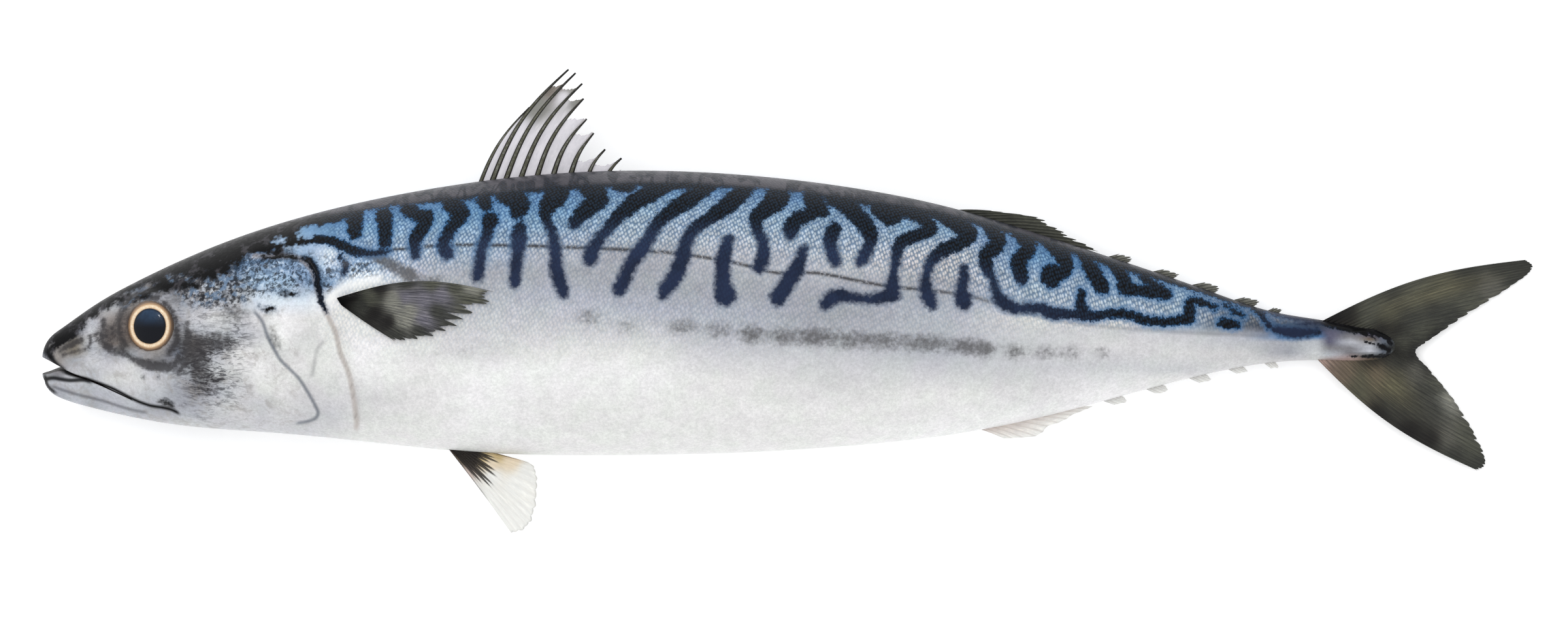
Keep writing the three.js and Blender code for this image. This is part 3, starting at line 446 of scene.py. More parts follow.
# --- The fins, as rays of (base x, tip x, tip y, bow) from the body's edge. Those of the tail fin and the
# pectoral fins have a base y too: (base x, base y, tip x, tip y, bow).
FIN_EMBED = 1.2  # how far the roots go into the flesh
TAIL_RAYS = [
    (290.5, 6.6, 338.6, 21.2, 2.9), (296, 6, 340.1, 19.4, 1.8), (301, 5.2, 336.5, 16, 1),
    (304.5, 4.2, 326.3, 9.4, 0.5), (306.5, 2.6, 316.5, 2.9, 0.2), (307.3, 1.2, 313.2, 0, 0),
    (306.8, 0, 316.9, -4.5, -0.2), (304, -0.8, 322.5, -11.5, -0.5), (300, -1.4, 327.5, -19.8, -1.2),
    (295, -1.4, 329.3, -25.2, -1.8), (290, -1, 327.4, -27, -2.7),
]
TAIL_SPOTS = [
    (292, 6.6, "black"), (294.5, 8, "black"), (298, 8.4, "fin_black"), (302, 7.4, "fin_mid"),
    (305, 5.2, "fin_black"), (303, 10.6, "fin_mid"), (307, 9, "fin_olive"), (308, 13, "fin_dark"),
    (313, 12, "fin_mid"), (313, 15.6, "fin_mid"), (319, 17.4, "fin_olive"), (319, 14, "fin_mid"),
    (324, 19.6, "fin_dark"), (326, 16.5, "fin_dark"), (332, 20, "fin_dark"), (338, 20, "fin_dark"),
    (336, 17.6, "fin_dark"), (330, 15, "fin_grey"), (326, 12, "fin_mid"), (321, 8, "fin_dark"),
    (317, 10, "fin_dark"), (315, 5.2, "fin_mid"), (312, 7.6, "fin_dark"), (309, 4.6, "fin_black"),
    (310, 2.4, "fin_mid"), (317, 3.4, "black"), (313, 0, "black"), (309, 0.3, "fin_black"),
    (305.6, 0, "fin_black"), (315.5, -3.2, "black"), (313.6, -4.4, "fin_grey"), (318, -7, "fin_mid"),
    (316, -9, "fin_dark"), (320.6, -11.2, "fin_pale"), (318, -13, "fin_dark"), (323.6, -18.6, "fin_mid"),
    (326.6, -22, "fin_mid"), (321, -19, "fin_grey"), (327, -25.5, "fin_dark"), (322, -23.5, "fin_dark"),
    (317, -19.6, "fin_black"), (313, -12, "fin_dark"), (308, -7, "fin_olive"), (304, -5, "fin_brown"),
    (301, -6, "fin_olive"), (307, -12, "fin_dark"), (300, -9, "fin_olive"), (297, -4.4, "fin_brown"),
    (293.5, -3, "fin_brown"), (292, -2.1, "fin_pink"), (312, -18, "fin_black"), (305, -13.4, "fin_black"),
    (303, -2.4, "fin_black"), (308, -2.6, "fin_dark"),
]
TAIL_RAY_COUNT = 46

# The first dorsal fin has nine spines. The last row is where its membrane ends.
FIRST_DORSAL_SPINES = [
    (99.7, 111.2, 55.6, 1.4), (102.4, 120, 64.2, 2.4), (105.5, 121.6, 63.4, 2.2), (108.9, 123.1, 61, 2),
    (112.6, 123.4, 57.6, 1.6), (116.3, 124.1, 53, 1.2), (120.3, 125.7, 49.8, 0.8),
    (124.3, 128.3, 46.1, 0.5), (128.6, 132, 44.1, 0.3), (131.3, 132.1, 41.8, 0.1),
]
PANEL_TOPS = [55.2, 60.9, 60.3, 57.8, 53.1, 50.1, 44.4, 43.4, 41.6]
SPINE_COUNT = 9
SPINE_ROOT_RADIUS = 0.68
SPINE_TIP_RADIUS = 0.22
THIN_SPINES = (0, 7, 8)
THIN_SPINE_SHARE = 0.72
SPINE_SIDES = 12
MEMBRANE_HALF_THICKNESS = 0.07
DORSAL_SPOTS = [
    (102, 42, "membrane"), (108, 50, "membrane"), (113, 56, "fin_pale"), (116, 59.5, "fin_brown"),
    (118.4, 60.8, "fin_brown"), (119, 58, "membrane"), (121, 59.6, "fin_pale"), (121.6, 57, "fin_pale"),
    (112, 46, "membrane"), (117, 50, "membrane"), (121, 52.4, "membrane"), (122, 46, "membrane"),
    (125, 43, "membrane"), (129, 42, "membrane"),
]

SECOND_DORSAL_RAYS = [
    (205, 216, 32.3, 0.3), (210, 226.5, 30.8, 0.4), (216, 231, 28.3, 0.3), (223, 236, 25.6, 0.2),
    (231, 241, 22.9, 0.1),
]
ANAL_RAYS = [
    (211, 219, -19.6, 0.2), (214, 225.5, -19.2, 0.4), (219, 230.5, -16.4, 0.3), (225, 235.5, -14.1, 0.2),
    (231.5, 239.5, -12.2, 0.1),
]
# Finlets as (start x, end x, tip x, tip y).
DORSAL_FINLETS = [
    (240.6, 245, 248.2, 21.6), (250.6, 255.4, 258.8, 18), (259.6, 265, 268.2, 14.9),
    (269.4, 273.8, 277.2, 11.8), (277.6, 280.4, 282.6, 9.9),
]
ANAL_FINLETS = [
    (239.6, 243.6, 247, -11.2), (249.6, 253.4, 256.4, -8.8), (259.4, 263.2, 266.2, -6.4),
    (268.4, 271.8, 274.6, -4.5), (277, 279.6, 281.8, -3.5),
]
FINLET_RAY_COUNT = 6
FINLET_SHOULDER = 0.62
FINLET_HIND_CORNER = 0.25
FINLET_HIND_SETBACK = 0.6

PECTORAL_RAYS = [
    (68.4, 12.4, 104.2, 13.7, 3.1), (68.6, 12, 103.9, 11, 1.8), (68.8, 11.7, 98.8, 8.2, 0.9),
    (69, 11.4, 94, 4.9, 0.3), (69.2, 11.1, 86.5, 2.9, 0), (69.4, 10.8, 81.6, 2.7, -0.2),
]
PECTORAL_SPOTS = [
    (69, 12, "black"), (72, 13, "fin_black"), (78, 14.6, "fin_black"), (84, 15.8, "fin_dark"),
    (74, 11, "fin_dark"), (77, 9, "fin_black"), (76, 12.4, "fin_mid"), (80, 7, "fin_black"),
    (82, 4, "fin_dark"), (81.5, 11.5, "fin_pale"), (84, 12.4, "fin_violet"), (84.5, 9.4, "fin_pale"),
    (83.5, 7.6, "fin_pale"), (88, 12, "fin_violet"), (88, 7.6, "fin_violet"), (87, 5, "fin_dark"),
    (91, 9.4, "fin_dark"), (92, 13, "fin_violet"), (95, 14.6, "fin_mid"), (99, 14.8, "fin_pale"),
    (98, 11.6, "fin_mid"), (102, 12, "fin_mid"), (94, 6, "fin_dark"), (90, 15.6, "fin_mid"),
]
PECTORAL_TIPS = [0, 0.19, 0.37, 0.45, 0.53, 0.61, 0.7, 0.79, 0.88, 1]  # where the rays bunch into points
PECTORAL_RAY_COUNT = 24
PECTORAL_CLEARANCE = 0.45
PECTORAL_THICKNESS = 0.5
PELVIC_RAYS = [
    (92.2, 107.4, -41.3, 0.2), (93, 110.8, -39.8, 0.2), (94, 112.4, -35.5, 0.1), (95.2, 113, -29.6, 0),
    (96.6, 112, -25.6, 0), (98, 106.6, -23.6, 0),
]
PELVIC_SPOTS = [
    (93, -23, "umber"), (94.6, -25.2, "fin_brown"), (96.6, -28, "blush"), (98, -31, "clear_white"),
    (99, -23, "umber"), (101, -23.4, "straw"), (104, -23.2, "straw"), (102.6, -25, "cream"),
    (107, -24, "cream"), (103, -28, "clear_white"), (102, -33, "clear_white"), (108, -30, "clear_white"),
    (104, -37, "clear_white"), (110, -37, "clear_white"), (111, -27, "clear_white"),
]
PELVIC_RAY_COUNT = 15
PELVIC_OFFSET = 2.6
PELVIC_HANG = {1: -0.08, -1: -0.2}

# --- The studio --------------------------------------------------------------------------------------------
CAMERA_CENTRE = (168.8, 8.9)  # what the camera looks at, in drawn millimetres
CAMERA_HEIGHT = 2193
LENS = 220
SENSOR = 36
NEAREST_SEEN = 0.01
FLOOR_HALF = 12000
# Square lamps: name, place and side in metres, power in watts, and whether the fish mirrors it.
LAMPS = [
    ("top_softbox", (-0.25, 0.35, 1.5), 1.1, 9, False), ("side_softbox", (1.3, -1.3, 0.6), 0.8, 4, True),
    ("small_window", (-0.64, 0.75, 0.81), 0.12, 1.5, True),
]
SKY_COLOUR = (0.98, 0.99, 1, 1)
SKY_STRENGTH = 0.72


# --- Numbers, curves and colours ---------------------------------------------------------------------------
def rgb(name):
    """A palette colour in the linear values that materials take."""
    values = np.array(PALETTE[name]) / 255
    return np.where(values <= 0.04045, values / 12.92, ((values + 0.055) / 1.055) ** 2.4)


def linear(name):
    return (*rgb(name), 1.0)


def smooth_curve(points):
    """A natural cubic spline through (x, value) pairs, as a function of x."""
    xs, ys = np.array(points, float).T
    widths = np.diff(xs)
    slopes = np.diff(ys) / widths
    matrix = np.eye(len(xs))
    target = np.zeros(len(xs))
    for i in range(1, len(xs) - 1):
        matrix[i, i - 1:i + 2] = widths[i - 1], 2 * (widths[i - 1] + widths[i]), widths[i]
        target[i] = 6 * (slopes[i] - slopes[i - 1])
    second = np.linalg.solve(matrix, target)

    def value(x):
        x = np.asarray(x, float)
        i = np.clip(np.searchsorted(xs, x, side="right") - 1, 0, len(xs) - 2)
        a = (xs[i + 1] - x) / widths[i]
        b = 1 - a
        curl = (a**3 - a) * second[i] + (b**3 - b) * second[i + 1]
        return a * ys[i] + b * ys[i + 1] + curl * widths[i] ** 2 / 6

    return value


def rounded_path(points, share):
    """Catmull-Rom points at each share (0 to 1) along a list of points of any size."""
    points = np.array(points, float)
    last = len(points) - 1
    place = np.clip(np.asarray(share, float), 0, 1) * last
    i = np.minimum(place.astype(int), last - 1)
    t = (place - i)[..., None]
    p0, p1, p2, p3 = (points[np.clip(i + k, 0, last)] for k in (-1, 0, 1, 2))
    v0 = (p2 - p0) / 2
    v1 = (p3 - p1) / 2
    return (2 * p1 - 2 * p2 + v0 + v1) * t**3 + (-3 * p1 + 3 * p2 - 2 * v0 - v1) * t**2 + v0 * t + p1


def fine_path(points, parts=3):
    return rounded_path(points, np.linspace(0, 1, (len(points) - 1) * parts + 1))


def step_between(low, high, value):
    """0 below low and 1 above high, with a smooth step between them."""
    t = np.clip((value - low) / (high - low), 0, 1)
    return t * t * (3 - 2 * t)


def bump_at(distance, width):
    return np.exp(-((distance / width) ** 2))


def turned(x, y, angle):
    """Places seen along and across a direction."""
    return x * math.cos(angle) + y * math.sin(angle), y * math.cos(angle) - x * math.sin(angle)


def seeded(count, seed):
    return np.random.default_rng(seed).random(count)


# --- The fish's own shape ----------------------------------------------------------------------------------
back_height = smooth_curve(BACK_HEIGHT)
belly_height = smooth_curve(BELLY_HEIGHT)
half_width = smooth_curve(HALF_WIDTH)
widest_height = smooth_curve(WIDEST_HEIGHT)
spine_height = smooth_curve(SPINE_HEIGHT)
back_band = smooth_curve(BACK_BAND)
sheen_band = smooth_curve(SHEEN_BAND)


def section(x):
    """The section at x: its widest height, its half heights above and below that, and its half width."""
    x = np.asarray(x, float)
    nose = (1 - np.clip(1 - x / NOSE_CAP, 0, 1) ** NOSE_POWER) ** (1 / NOSE_POWER)
    along = np.clip((x - TAIL_CAP_START) / (BODY_END - TAIL_CAP_START), 0, 1)
    cap = nose * np.sqrt(1 - along**2)
    middle = widest_height(x)
    above = (back_height(x) - middle) * cap
    below = (middle - belly_height(x)) * cap
    return middle, above, below, half_width(x) * cap


def flank_z(x, y, side):
    """The skin's height over the floor at a side-view place, on the left (1) or right (-1) flank."""
    middle, above, below, wide = section(x)
    share = np.clip(np.abs(y - middle) / np.where(y > middle, above, below), 0, 1)
    return spine_height(x) + side * wide * (1 - share**SECTION_POWER) ** (1 / SECTION_POWER)


FRAME_SHIFT = np.array([CAD_BOX[0].x - DRAWN_START * UNIT, CAD_BOX[0].y - DRAWN_LOW * UNIT, 0])


def to_frame(points):
    """Drawn millimetres to the frame's metres."""
    return np.asarray(points, float) * UNIT + FRAME_SHIFT


def to_drawn(points):
    return (np.asarray(points, float) - FRAME_SHIFT) / UNIT


# --- Distances to drawn strokes and lines ------------------------------------------------------------------
FAR = 9  # distances are told apart up to here, in millimetres
STROKE_REACH = 5
STROKE_BLEND = 0.5


def segment_distance(x, y, a, b):
    """Each point's distance to a segment, how far along it that is, and the side that it is on."""
    dx, dy = b[0] - a[0], b[1] - a[1]
    along = ((x - a[0]) * dx + (y - a[1]) * dy) / max(dx * dx + dy * dy, 1e-9)
    share = np.clip(along, 0, 1)
    distance = np.hypot(x - a[0] - share * dx, y - a[1] - share * dy)
    return distance, share, dx * (y - a[1]) - dy * (x - a[0])


def near_path(x, path, reach):
    return np.flatnonzero((x > path[:, 0].min() - reach) & (x < path[:, 0].max() + reach))


def blend_min(a, b, width):
    """The lower of two distances, with a rounded corner where they meet."""
    h = np.clip(0.5 + (b - a) / (2 * width), 0, 1)
    return b * (1 - h) + a * h - width * h * (1 - h)


def stroke_distance(x, y, strokes):
    """Distance to the nearest edge of any of the strokes, below 0 inside one."""
    best = np.full(x.shape, float(FAR))
    for stroke in strokes:
        path = fine_path(stroke)
        own = np.full(x.shape, float(FAR))
        near = near_path(x, path, STROKE_REACH)
        for a, b in zip(path, path[1:]):
            distance, share, _ = segment_distance(x[near], y[near], a, b)
            own[near] = np.minimum(own[near], distance - a[2] - share * (b[2] - a[2]))
        best = blend_min(best, own, STROKE_BLEND)
    return best


def line_distance(x, y, line, fade=1.5):
    """Signed distance to a line, and 1 beside it, fading to 0 over its two ends and far from it."""
    path = fine_path(line)
    lengths = np.hypot(*np.diff(path, axis=0).T)
    starts = np.concatenate([[0], np.cumsum(lengths)])
    best, signed = np.full((2, *x.shape), float(FAR))
    place = np.zeros(x.shape)
    near = near_path(x, path, FAR)
    for i, (a, b) in enumerate(zip(path, path[1:])):
        distance, share, side = segment_distance(x[near], y[near], a, b)
        closer = distance < best[near]
        chosen = near[closer]
        best[chosen] = distance[closer]
        signed[chosen] = np.where(side[closer] < 0, -1, 1) * distance[closer]
        place[chosen] = starts[i] + share[closer] * lengths[i]
    ends = step_between(0, fade, place) * step_between(0, fade, starts[-1] - place)
    return signed, ends * step_between(FAR, FAR - 2, best)


def patch_amount(x, y, patches):
    """How much of the soft oval patches lies on a point: (x, y, half length, half height, tilt, strength)."""
    left_clear = np.ones(x.shape)
    for px, py, long, high, tilt, strength in patches:
        u, v = turned(x - px, y - py, tilt)
        left_clear *= 1 - strength * np.exp(-0.9 * ((u / long) ** 2 + (v / high) ** 2) ** 1.3)
    return 1 - left_clear


def patch_distance(x, y, patches):
    """Roughly the distance to the edge of the nearest oval patch, below 0 inside one."""
    best = np.full(x.shape, float(FAR))
    for px, py, long, high, tilt in patches:
        u, v = turned(x - px, y - py, tilt)
        best = np.minimum(best, (np.hypot(u / long, v / high) - 1) * min(long, high))
    return best


def column_paint(x, y):
    """The skin's plain colour at each place, from the columns of colours down the flank."""
    stations = np.array([place for place, _ in SKIN_COLUMNS], float)
    layers = []
    for _, column in SKIN_COLUMNS:
        heights, names = zip(*column[::-1])
        layers.append(np.stack([np.interp(y, heights, part) for part in zip(*map(rgb, names))], axis=-1))
    i = np.clip(np.searchsorted(stations, x) - 1, 0, len(stations) - 2)
    start, end = stations[i], stations[i + 1]
    share = (step_between(start, end, x) + np.clip((x - start) / (end - start), 0, 1))[:, None] / 2
    layers = np.array(layers)
    each = np.arange(len(x))
    return layers[i, each] * (1 - share) + layers[i + 1, each] * share


def spot_paint(x, y, spots, reach=1.0):
    """Colours blended between named spots: (x, y, colour), each pulling on what is near it."""
    total = np.zeros(x.shape)
    paint = np.zeros((*x.shape, 3))
    for px, py, name in spots:
        weight = 1 / ((x - px) ** 2 + (y - py) ** 2 + reach) ** 2
        total += weight
        paint += weight[..., None] * rgb(name)
    return paint / total[..., None]


def toned(colours, name, amount):
    """Colours moved towards a named one."""
    return colours + (rgb(name) - colours) * amount[:, None]


# --- Materials ---------------------------------------------------------------------------------------------
class Value:
    """A node's output, with arithmetic that adds math nodes."""

    def __init__(self, material, socket):
        self.material = material
        self.socket = socket

    def __add__(self, other):
        return self.material.math("ADD", self, other)

    def __sub__(self, other):
        return self.material.math("SUBTRACT", self, other)

    def __mul__(self, other):
        return self.material.math("MULTIPLY", self, other)


class Material:
    """A node material under construction. Most methods add a node and return its output."""

    def __init__(self, name, **settings):
        self.data = bpy.data.materials.new(name)
        self.data.use_nodes = True
        self.nodes = self.data.node_tree.nodes
        self.links = self.data.node_tree.links
        self.shader = self.nodes["Principled BSDF"]
        for socket, value in settings.items():
            self.shader.inputs[socket.replace("_", " ")].default_value = value
        # Places on the piece in drawn millimetres.
        where = self.add("ShaderNodeTexCoord", 3)
        self.place = self.add("ShaderNodeVectorMath", 0, {0: where, 3: 1 / UNIT}, operation="SCALE")

    def put(self, socket, value):
        if isinstance(value, Value):
            self.links.new(value.socket, socket)
        else:
            socket.default_value = value

    def add(self, kind, output=0, inputs=(), **settings):
        node = self.nodes.new(kind)
        for name, value in settings.items():
            setattr(node, name, value)
        for name, value in dict(inputs).items():
            self.put(node.inputs[name], value)
        return Value(self, node.outputs[output])

    def math(self, operation, *values):
        return self.add("ShaderNodeMath", 0, enumerate(values), operation=operation)

    def mix(self, factor, a, b, blend="MIX"):
        inputs = {0: factor, 6: a, 7: b}
        return self.add("ShaderNodeMix", 2, inputs, data_type="RGBA", blend_type=blend)

    def tint(self, factor, base, name):
        return self.mix(factor, base, linear(name))

    def shade(self, base, factor):
        """A colour multiplied by another, or by a number."""
        return self.mix(1.0, base, factor, "MULTIPLY")

    def span(self, value, low, high, out_low=0.0, out_high=1.0):
        """A smooth step from one number to another as a value goes from low to high."""
        inputs = {0: value, 1: low, 2: high, 3: out_low, 4: out_high}
        return self.add("ShaderNodeMapRange", 0, inputs, interpolation_type="SMOOTHSTEP")

    def attribute(self, name, output=2):
        return self.add("ShaderNodeAttribute", output, attribute_name=name)

    def vector(self, x, y):
        return self.add("ShaderNodeCombineXYZ", 0, {0: x, 1: y})

    def stretched(self, vector, scale, turn=0.0):
        return self.add("ShaderNodeMapping", 0, {0: vector, 2: (0, 0, turn), 3: scale})

    def noise(self, scale, detail=2.0, roughness=0.5, distortion=0.0, vector=None):
        inputs = {"Vector": vector or self.place, "Scale": scale, "Detail": detail}
        return self.add("ShaderNodeTexNoise", 0, {**inputs, "Roughness": roughness, "Distortion": distortion})

    def line(self, name, width, softness):
        """How much a drawn line covers a point, from the attribute that holds its signed distance."""
        split = self.add("ShaderNodeSeparateXYZ", 0, {0: self.attribute(name, 1)})
        ends = Value(self, split.socket.node.outputs[1])
        distance = self.math("ABSOLUTE", split)
        return self.span(distance, width / 2 + softness, max(width / 2 - softness, 0)) * ends

    def bump(self, height, strength, depth):
        """Bumps of a depth in millimetres."""
        inputs = {"Height": height, "Strength": strength, "Distance": depth * UNIT}
        return self.add("ShaderNodeBump", 0, inputs)

    def finish(self, colour, **inputs):
        """Plugs in the colour and any other of the shader's inputs, and returns the material."""
        for name, value in {"Base Color": colour, **inputs}.items():
            self.put(self.shader.inputs[name], value)
        return self.data


# --- Meshes ------------------------------------------------------------------------------------------------
def new_mesh(name, points, faces):
    """A smooth-shaded mesh from drawn points."""
    mesh = bpy.data.meshes.new(name)
    mesh.from_pydata(to_frame(points), [], faces)
    mesh.shade_smooth()
    return mesh


def store(mesh, name, values):
    """Keeps a number, a vector or a colour for each point of a mesh, for its material."""
    values = np.asarray(values, np.float32)
    size = values.shape[1] if values.ndim > 1 else 1
    kind, key = {1: ("FLOAT", "value"), 3: ("FLOAT_VECTOR", "vector"), 4: ("FLOAT_COLOR", "color")}[size]
    mesh.attributes.new(name, kind, "POINT").data.foreach_set(key, values.ravel())


def store_paint(mesh, colours):
    store(mesh, "paint", np.column_stack([colours, np.ones(len(colours))]))


def read_numbers(items, key, kind=np.int32, size=1):
    numbers = np.zeros(len(items) * size, kind)
    items.foreach_get(key, numbers)
    return numbers


def add_object(name, data):
    thing = bpy.data.objects.new(name, data)
    bpy.context.scene.collection.objects.link(thing)
    return thing


def add_piece(name, mesh, material, node):
    """Puts a finished mesh in the scene as a piece that stands for a CAD node."""
    if material:
        mesh.materials.append(material)
    piece = add_object(name, mesh)
    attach(piece, "root")
    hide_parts(node)


def grid_faces(columns, rows, closed=False):
    """Quads of a grid of points stored column by column. A closed grid joins its last row to its first."""
    i, j = np.meshgrid(np.arange(columns - 1), np.arange(rows if closed else rows - 1), indexing="ij")
    following = (j + 1) % rows
    corners = [i * rows + j, (i + 1) * rows + j, (i + 1) * rows + following, i * rows + following]
    return np.stack([c.ravel() for c in corners], axis=-1)


def capped_faces(rings, sides):
    """Rings of points joined end to end, and closed by the two points stored after them."""
    ring = np.arange(sides)
    following = (ring + 1) % sides
    end = (rings - 1) * sides
    first = np.stack([np.full(sides, rings * sides), ring, following], axis=-1)
    last = np.stack([np.full(sides, rings * sides + 1), end + following, end + ring], axis=-1)
    return grid_faces(rings, sides, closed=True).tolist() + first.tolist() + last.tolist()


# --- The body ----------------------------------------------------------------------------------------------
def body_stations():
    turn = np.linspace(0, math.pi / 2, CAP_STEPS + 1)
    nose = NOSE_CAP * (1 - np.cos(turn[1:]))
    head = np.arange(NOSE_CAP + HEAD_STEP, HEAD_END, HEAD_STEP)
    trunk = np.arange(HEAD_END, TAIL_CAP_START, TRUNK_STEP)
    tail = TAIL_CAP_START + (BODY_END - TAIL_CAP_START) * np.sin(turn[1:-1])
    return np.concatenate([nose, head, trunk, tail])


def skin_relief(x, y):
    """How far the skin stands out of the plain body at each side-view place."""
    rise = np.zeros(x.shape)
    for line, fade, before, behind in RAISED_EDGES:
        distance, ends = line_distance(x, y, line, fade)
        high, width = (np.where(distance < 0, a, b) for a, b in zip(before, behind))
        rise += ends * high * bump_at(distance, width)
    for line, depth, width in GROOVES:
        distance, ends = line_distance(x, y, line)
        rise -= depth * ends * bump_at(distance, width)
    eye = np.hypot(x - EYE[0], y - EYE[1]) - SOCKET_RADIUS
    rise += 0.4 * bump_at(eye - 1.1, 1.2) - 0.25 * bump_at(eye - 3.4, 1.1)
    rise -= SOCKET_DEPTH * step_between(0.1, -0.9, eye)
    for nx, ny, depth in NOSTRILS:
        rise -= depth * bump_at(np.hypot(x - nx, y - ny), NOSTRIL_RADIUS)
    return rise


def body_grid(stations):
    """Rings of points round the backbone, with the relief of the skin."""
    left = np.linspace(0, math.pi, LEFT_POINTS, endpoint=False)
    right = np.linspace(math.pi, 2 * math.pi, RIGHT_POINTS, endpoint=False)
    turn = np.concatenate([left, right])
    up, out = (np.sign(part) * np.abs(part) ** (2 / SECTION_POWER) for part in (np.cos(turn), np.sin(turn)))
    middle, above, below, wide = (part[:, None] for part in section(stations))
    x = np.repeat(stations[:, None], len(turn), axis=1)
    y = middle + up * np.where(up > 0, above, below)
    z = spine_height(stations)[:, None] + out * wide
    points = np.stack([x, y, z], axis=-1)
    around = np.roll(points, -1, axis=1) - np.roll(points, 1, axis=1)
    normals = np.cross(around, np.gradient(points, axis=0))
    normals /= np.linalg.norm(normals, axis=-1, keepdims=True) + 1e-9
    points += normals * skin_relief(x.ravel(), y.ravel()).reshape(x.shape)[..., None]
    points[..., 2] = np.maximum(points[..., 2], 0)
    return points


def flat_map(faces, rows, share):
    """Where each face corner lies on a flat map of the skin: along the fish, and round it."""
    pairs = []
    poles = len(share) * rows
    for face in faces:
        turns = {k: k % rows for k in face if k < poles}
        if rows - 1 in turns.values():
            turns = {k: turn or rows for k, turn in turns.items()}
        middle = sum(turns.values()) / len(turns)
        for k in face:
            pairs.append((share[k // rows], turns[k] / rows) if k < poles else (k - poles, middle / rows))
    return np.array(pairs, np.float32)


def body_mesh():
    """The skin as a closed grid with a point at each end, and its map for baking."""
    stations = body_stations()
    grid = body_grid(stations)
    columns, rows = grid.shape[:2]
    ends = [[x, float(widest_height(x)), float(spine_height(x))] for x in (0, BODY_END)]
    faces = [face[::-1] for face in capped_faces(columns, rows)]
    mesh = new_mesh("body_skin", np.concatenate([grid.reshape(-1, 3), ends]), faces)
    pairs = flat_map(faces, rows, stations / BODY_END)
    mesh.uv_layers.new(name="OFBake").data.foreach_set("uv", pairs.ravel())
    return mesh


def mouth_cutter():
    """A wedge right across the head, open at the snout."""
    outline = np.concatenate([fine_path(MOUTH_UPPER, 6), fine_path(MOUTH_LOWER, 6)])[::-1]
    count = len(outline)
    skin = float(flank_z(*MOUTH_MIDDLE, 1))
    levels = [np.column_stack([outline + [0, MOUTH_SLANT * depth], np.full(count, skin - depth)])
              for depth in MOUTH_REACH]
    sides = [[k, (k + 1) % count, count + (k + 1) % count, count + k] for k in range(count)]
    caps = [list(range(count))[::-1], list(range(count, 2 * count))]
    return new_mesh("mouth_cutter", np.concatenate(levels), sides + caps)


def cut_mouth(skin, skin_material, lining_material):
    """The skin's mesh with the mouth wedge cut out of it and lined."""
    wedge = mouth_cutter()
    for mesh, material in [(skin, skin_material), (skin, lining_material), (wedge, lining_material)]:
        mesh.materials.append(material)
    whole = add_object("skin_before_cut", skin)
    cutter = add_object("mouth_cutter", wedge)
    cut = whole.modifiers.new("mouth", "BOOLEAN")
    cut.operation = "DIFFERENCE"
    cut.solver = "EXACT"
    cut.material_mode = "TRANSFER"
    cut.object = cutter
    depsgraph = bpy.context.evaluated_depsgraph_get()
    result = bpy.data.meshes.new_from_object(whole.evaluated_get(depsgraph))
    for piece in (whole, cutter):
        bpy.data.objects.remove(piece)
    result.name = "body_skin"
    return result


def sharpen_mouth_edges(mesh):
    """Keeps the skin's shading smooth right up to the edge of the lips, where the two materials meet."""
    edges = read_numbers(mesh.loops, "edge_index")
    slots = read_numbers(mesh.polygons, "material_index")
    slots = np.repeat(slots, read_numbers(mesh.polygons, "loop_total"))
    skinned, lined = np.zeros((2, len(mesh.edges)), bool)
    skinned[edges[slots == 0]] = True
    lined[edges[slots == 1]] = True
    sharp = mesh.attributes.get("sharp_edge") or mesh.attributes.new("sharp_edge", "BOOLEAN", "EDGE")
    sharp.data.foreach_set("value", skinned & lined)


def scale_places(x, y, z):
    """Places on the skin rolled out flat, so that the scales keep their size round the body."""
    middle, above, below, wide = section(np.clip(x, 0.05, BODY_END - 0.05))
    turn = np.arctan2((z - spine_height(x)) / wide, (y - middle) / np.where(y > middle, above, below))
    girth = (2 * wide + above + below) / 4
    return np.stack([x, turn * girth, np.zeros_like(x)], axis=-1)


def shifted_flank(x, y, z):
    """Places whose marks the right flank shows: shifted and bent a little, so it isn't a mirror image."""
    bend = step_between(70, 90, x) * (z <= spine_height(x))
    mx = x + bend * (2.2 * np.sin(0.13 * y + 0.031 * x) + 1.2 * np.sin(0.19 * x))
    return mx, y + bend * 0.9 * np.sin(0.23 * x + 0.4)


def black_distance(x, y, mx, my):
    """Distance to the black of the bars, the back and the head, below 0 inside it."""
    below_back = back_height(x) - y
    swell = BAR_SWELL[0] + (BAR_SWELL[1] - BAR_SWELL[0]) * step_between(12, 6, below_back)
    swell *= step_between(285, 235, x)
    bars = np.minimum(stroke_distance(mx, my, BARS) - swell, stroke_distance(x, y, HEAD_MARKS) - 0.2)
    black = blend_min(bars, below_back - back_band(x), 0.9)
    return np.clip(np.maximum(black, -patch_distance(x, y, BLUE_PATCHES)), -3, 6)


def smudge_and_socket_shade_amount(x, y, mx, my):
    blotches = [(*place, BLOTCH_HALF_HEIGHT, 0, strength) for *place, strength in FLANK_BLOTCHES]
    smudge_and_socket_shade = patch_amount(mx, my, [*SMUDGES_AND_SOCKET_SHADE, *blotches, BLOTCH_BAND])
    # Painted shade round the eye socket and the nostrils.
    socket = step_between(1.1, -0.7, stroke_distance(x, y, SOCKET_MARKS))
    return 1 - (1 - smudge_and_socket_shade) * (1 - 0.85 * socket)


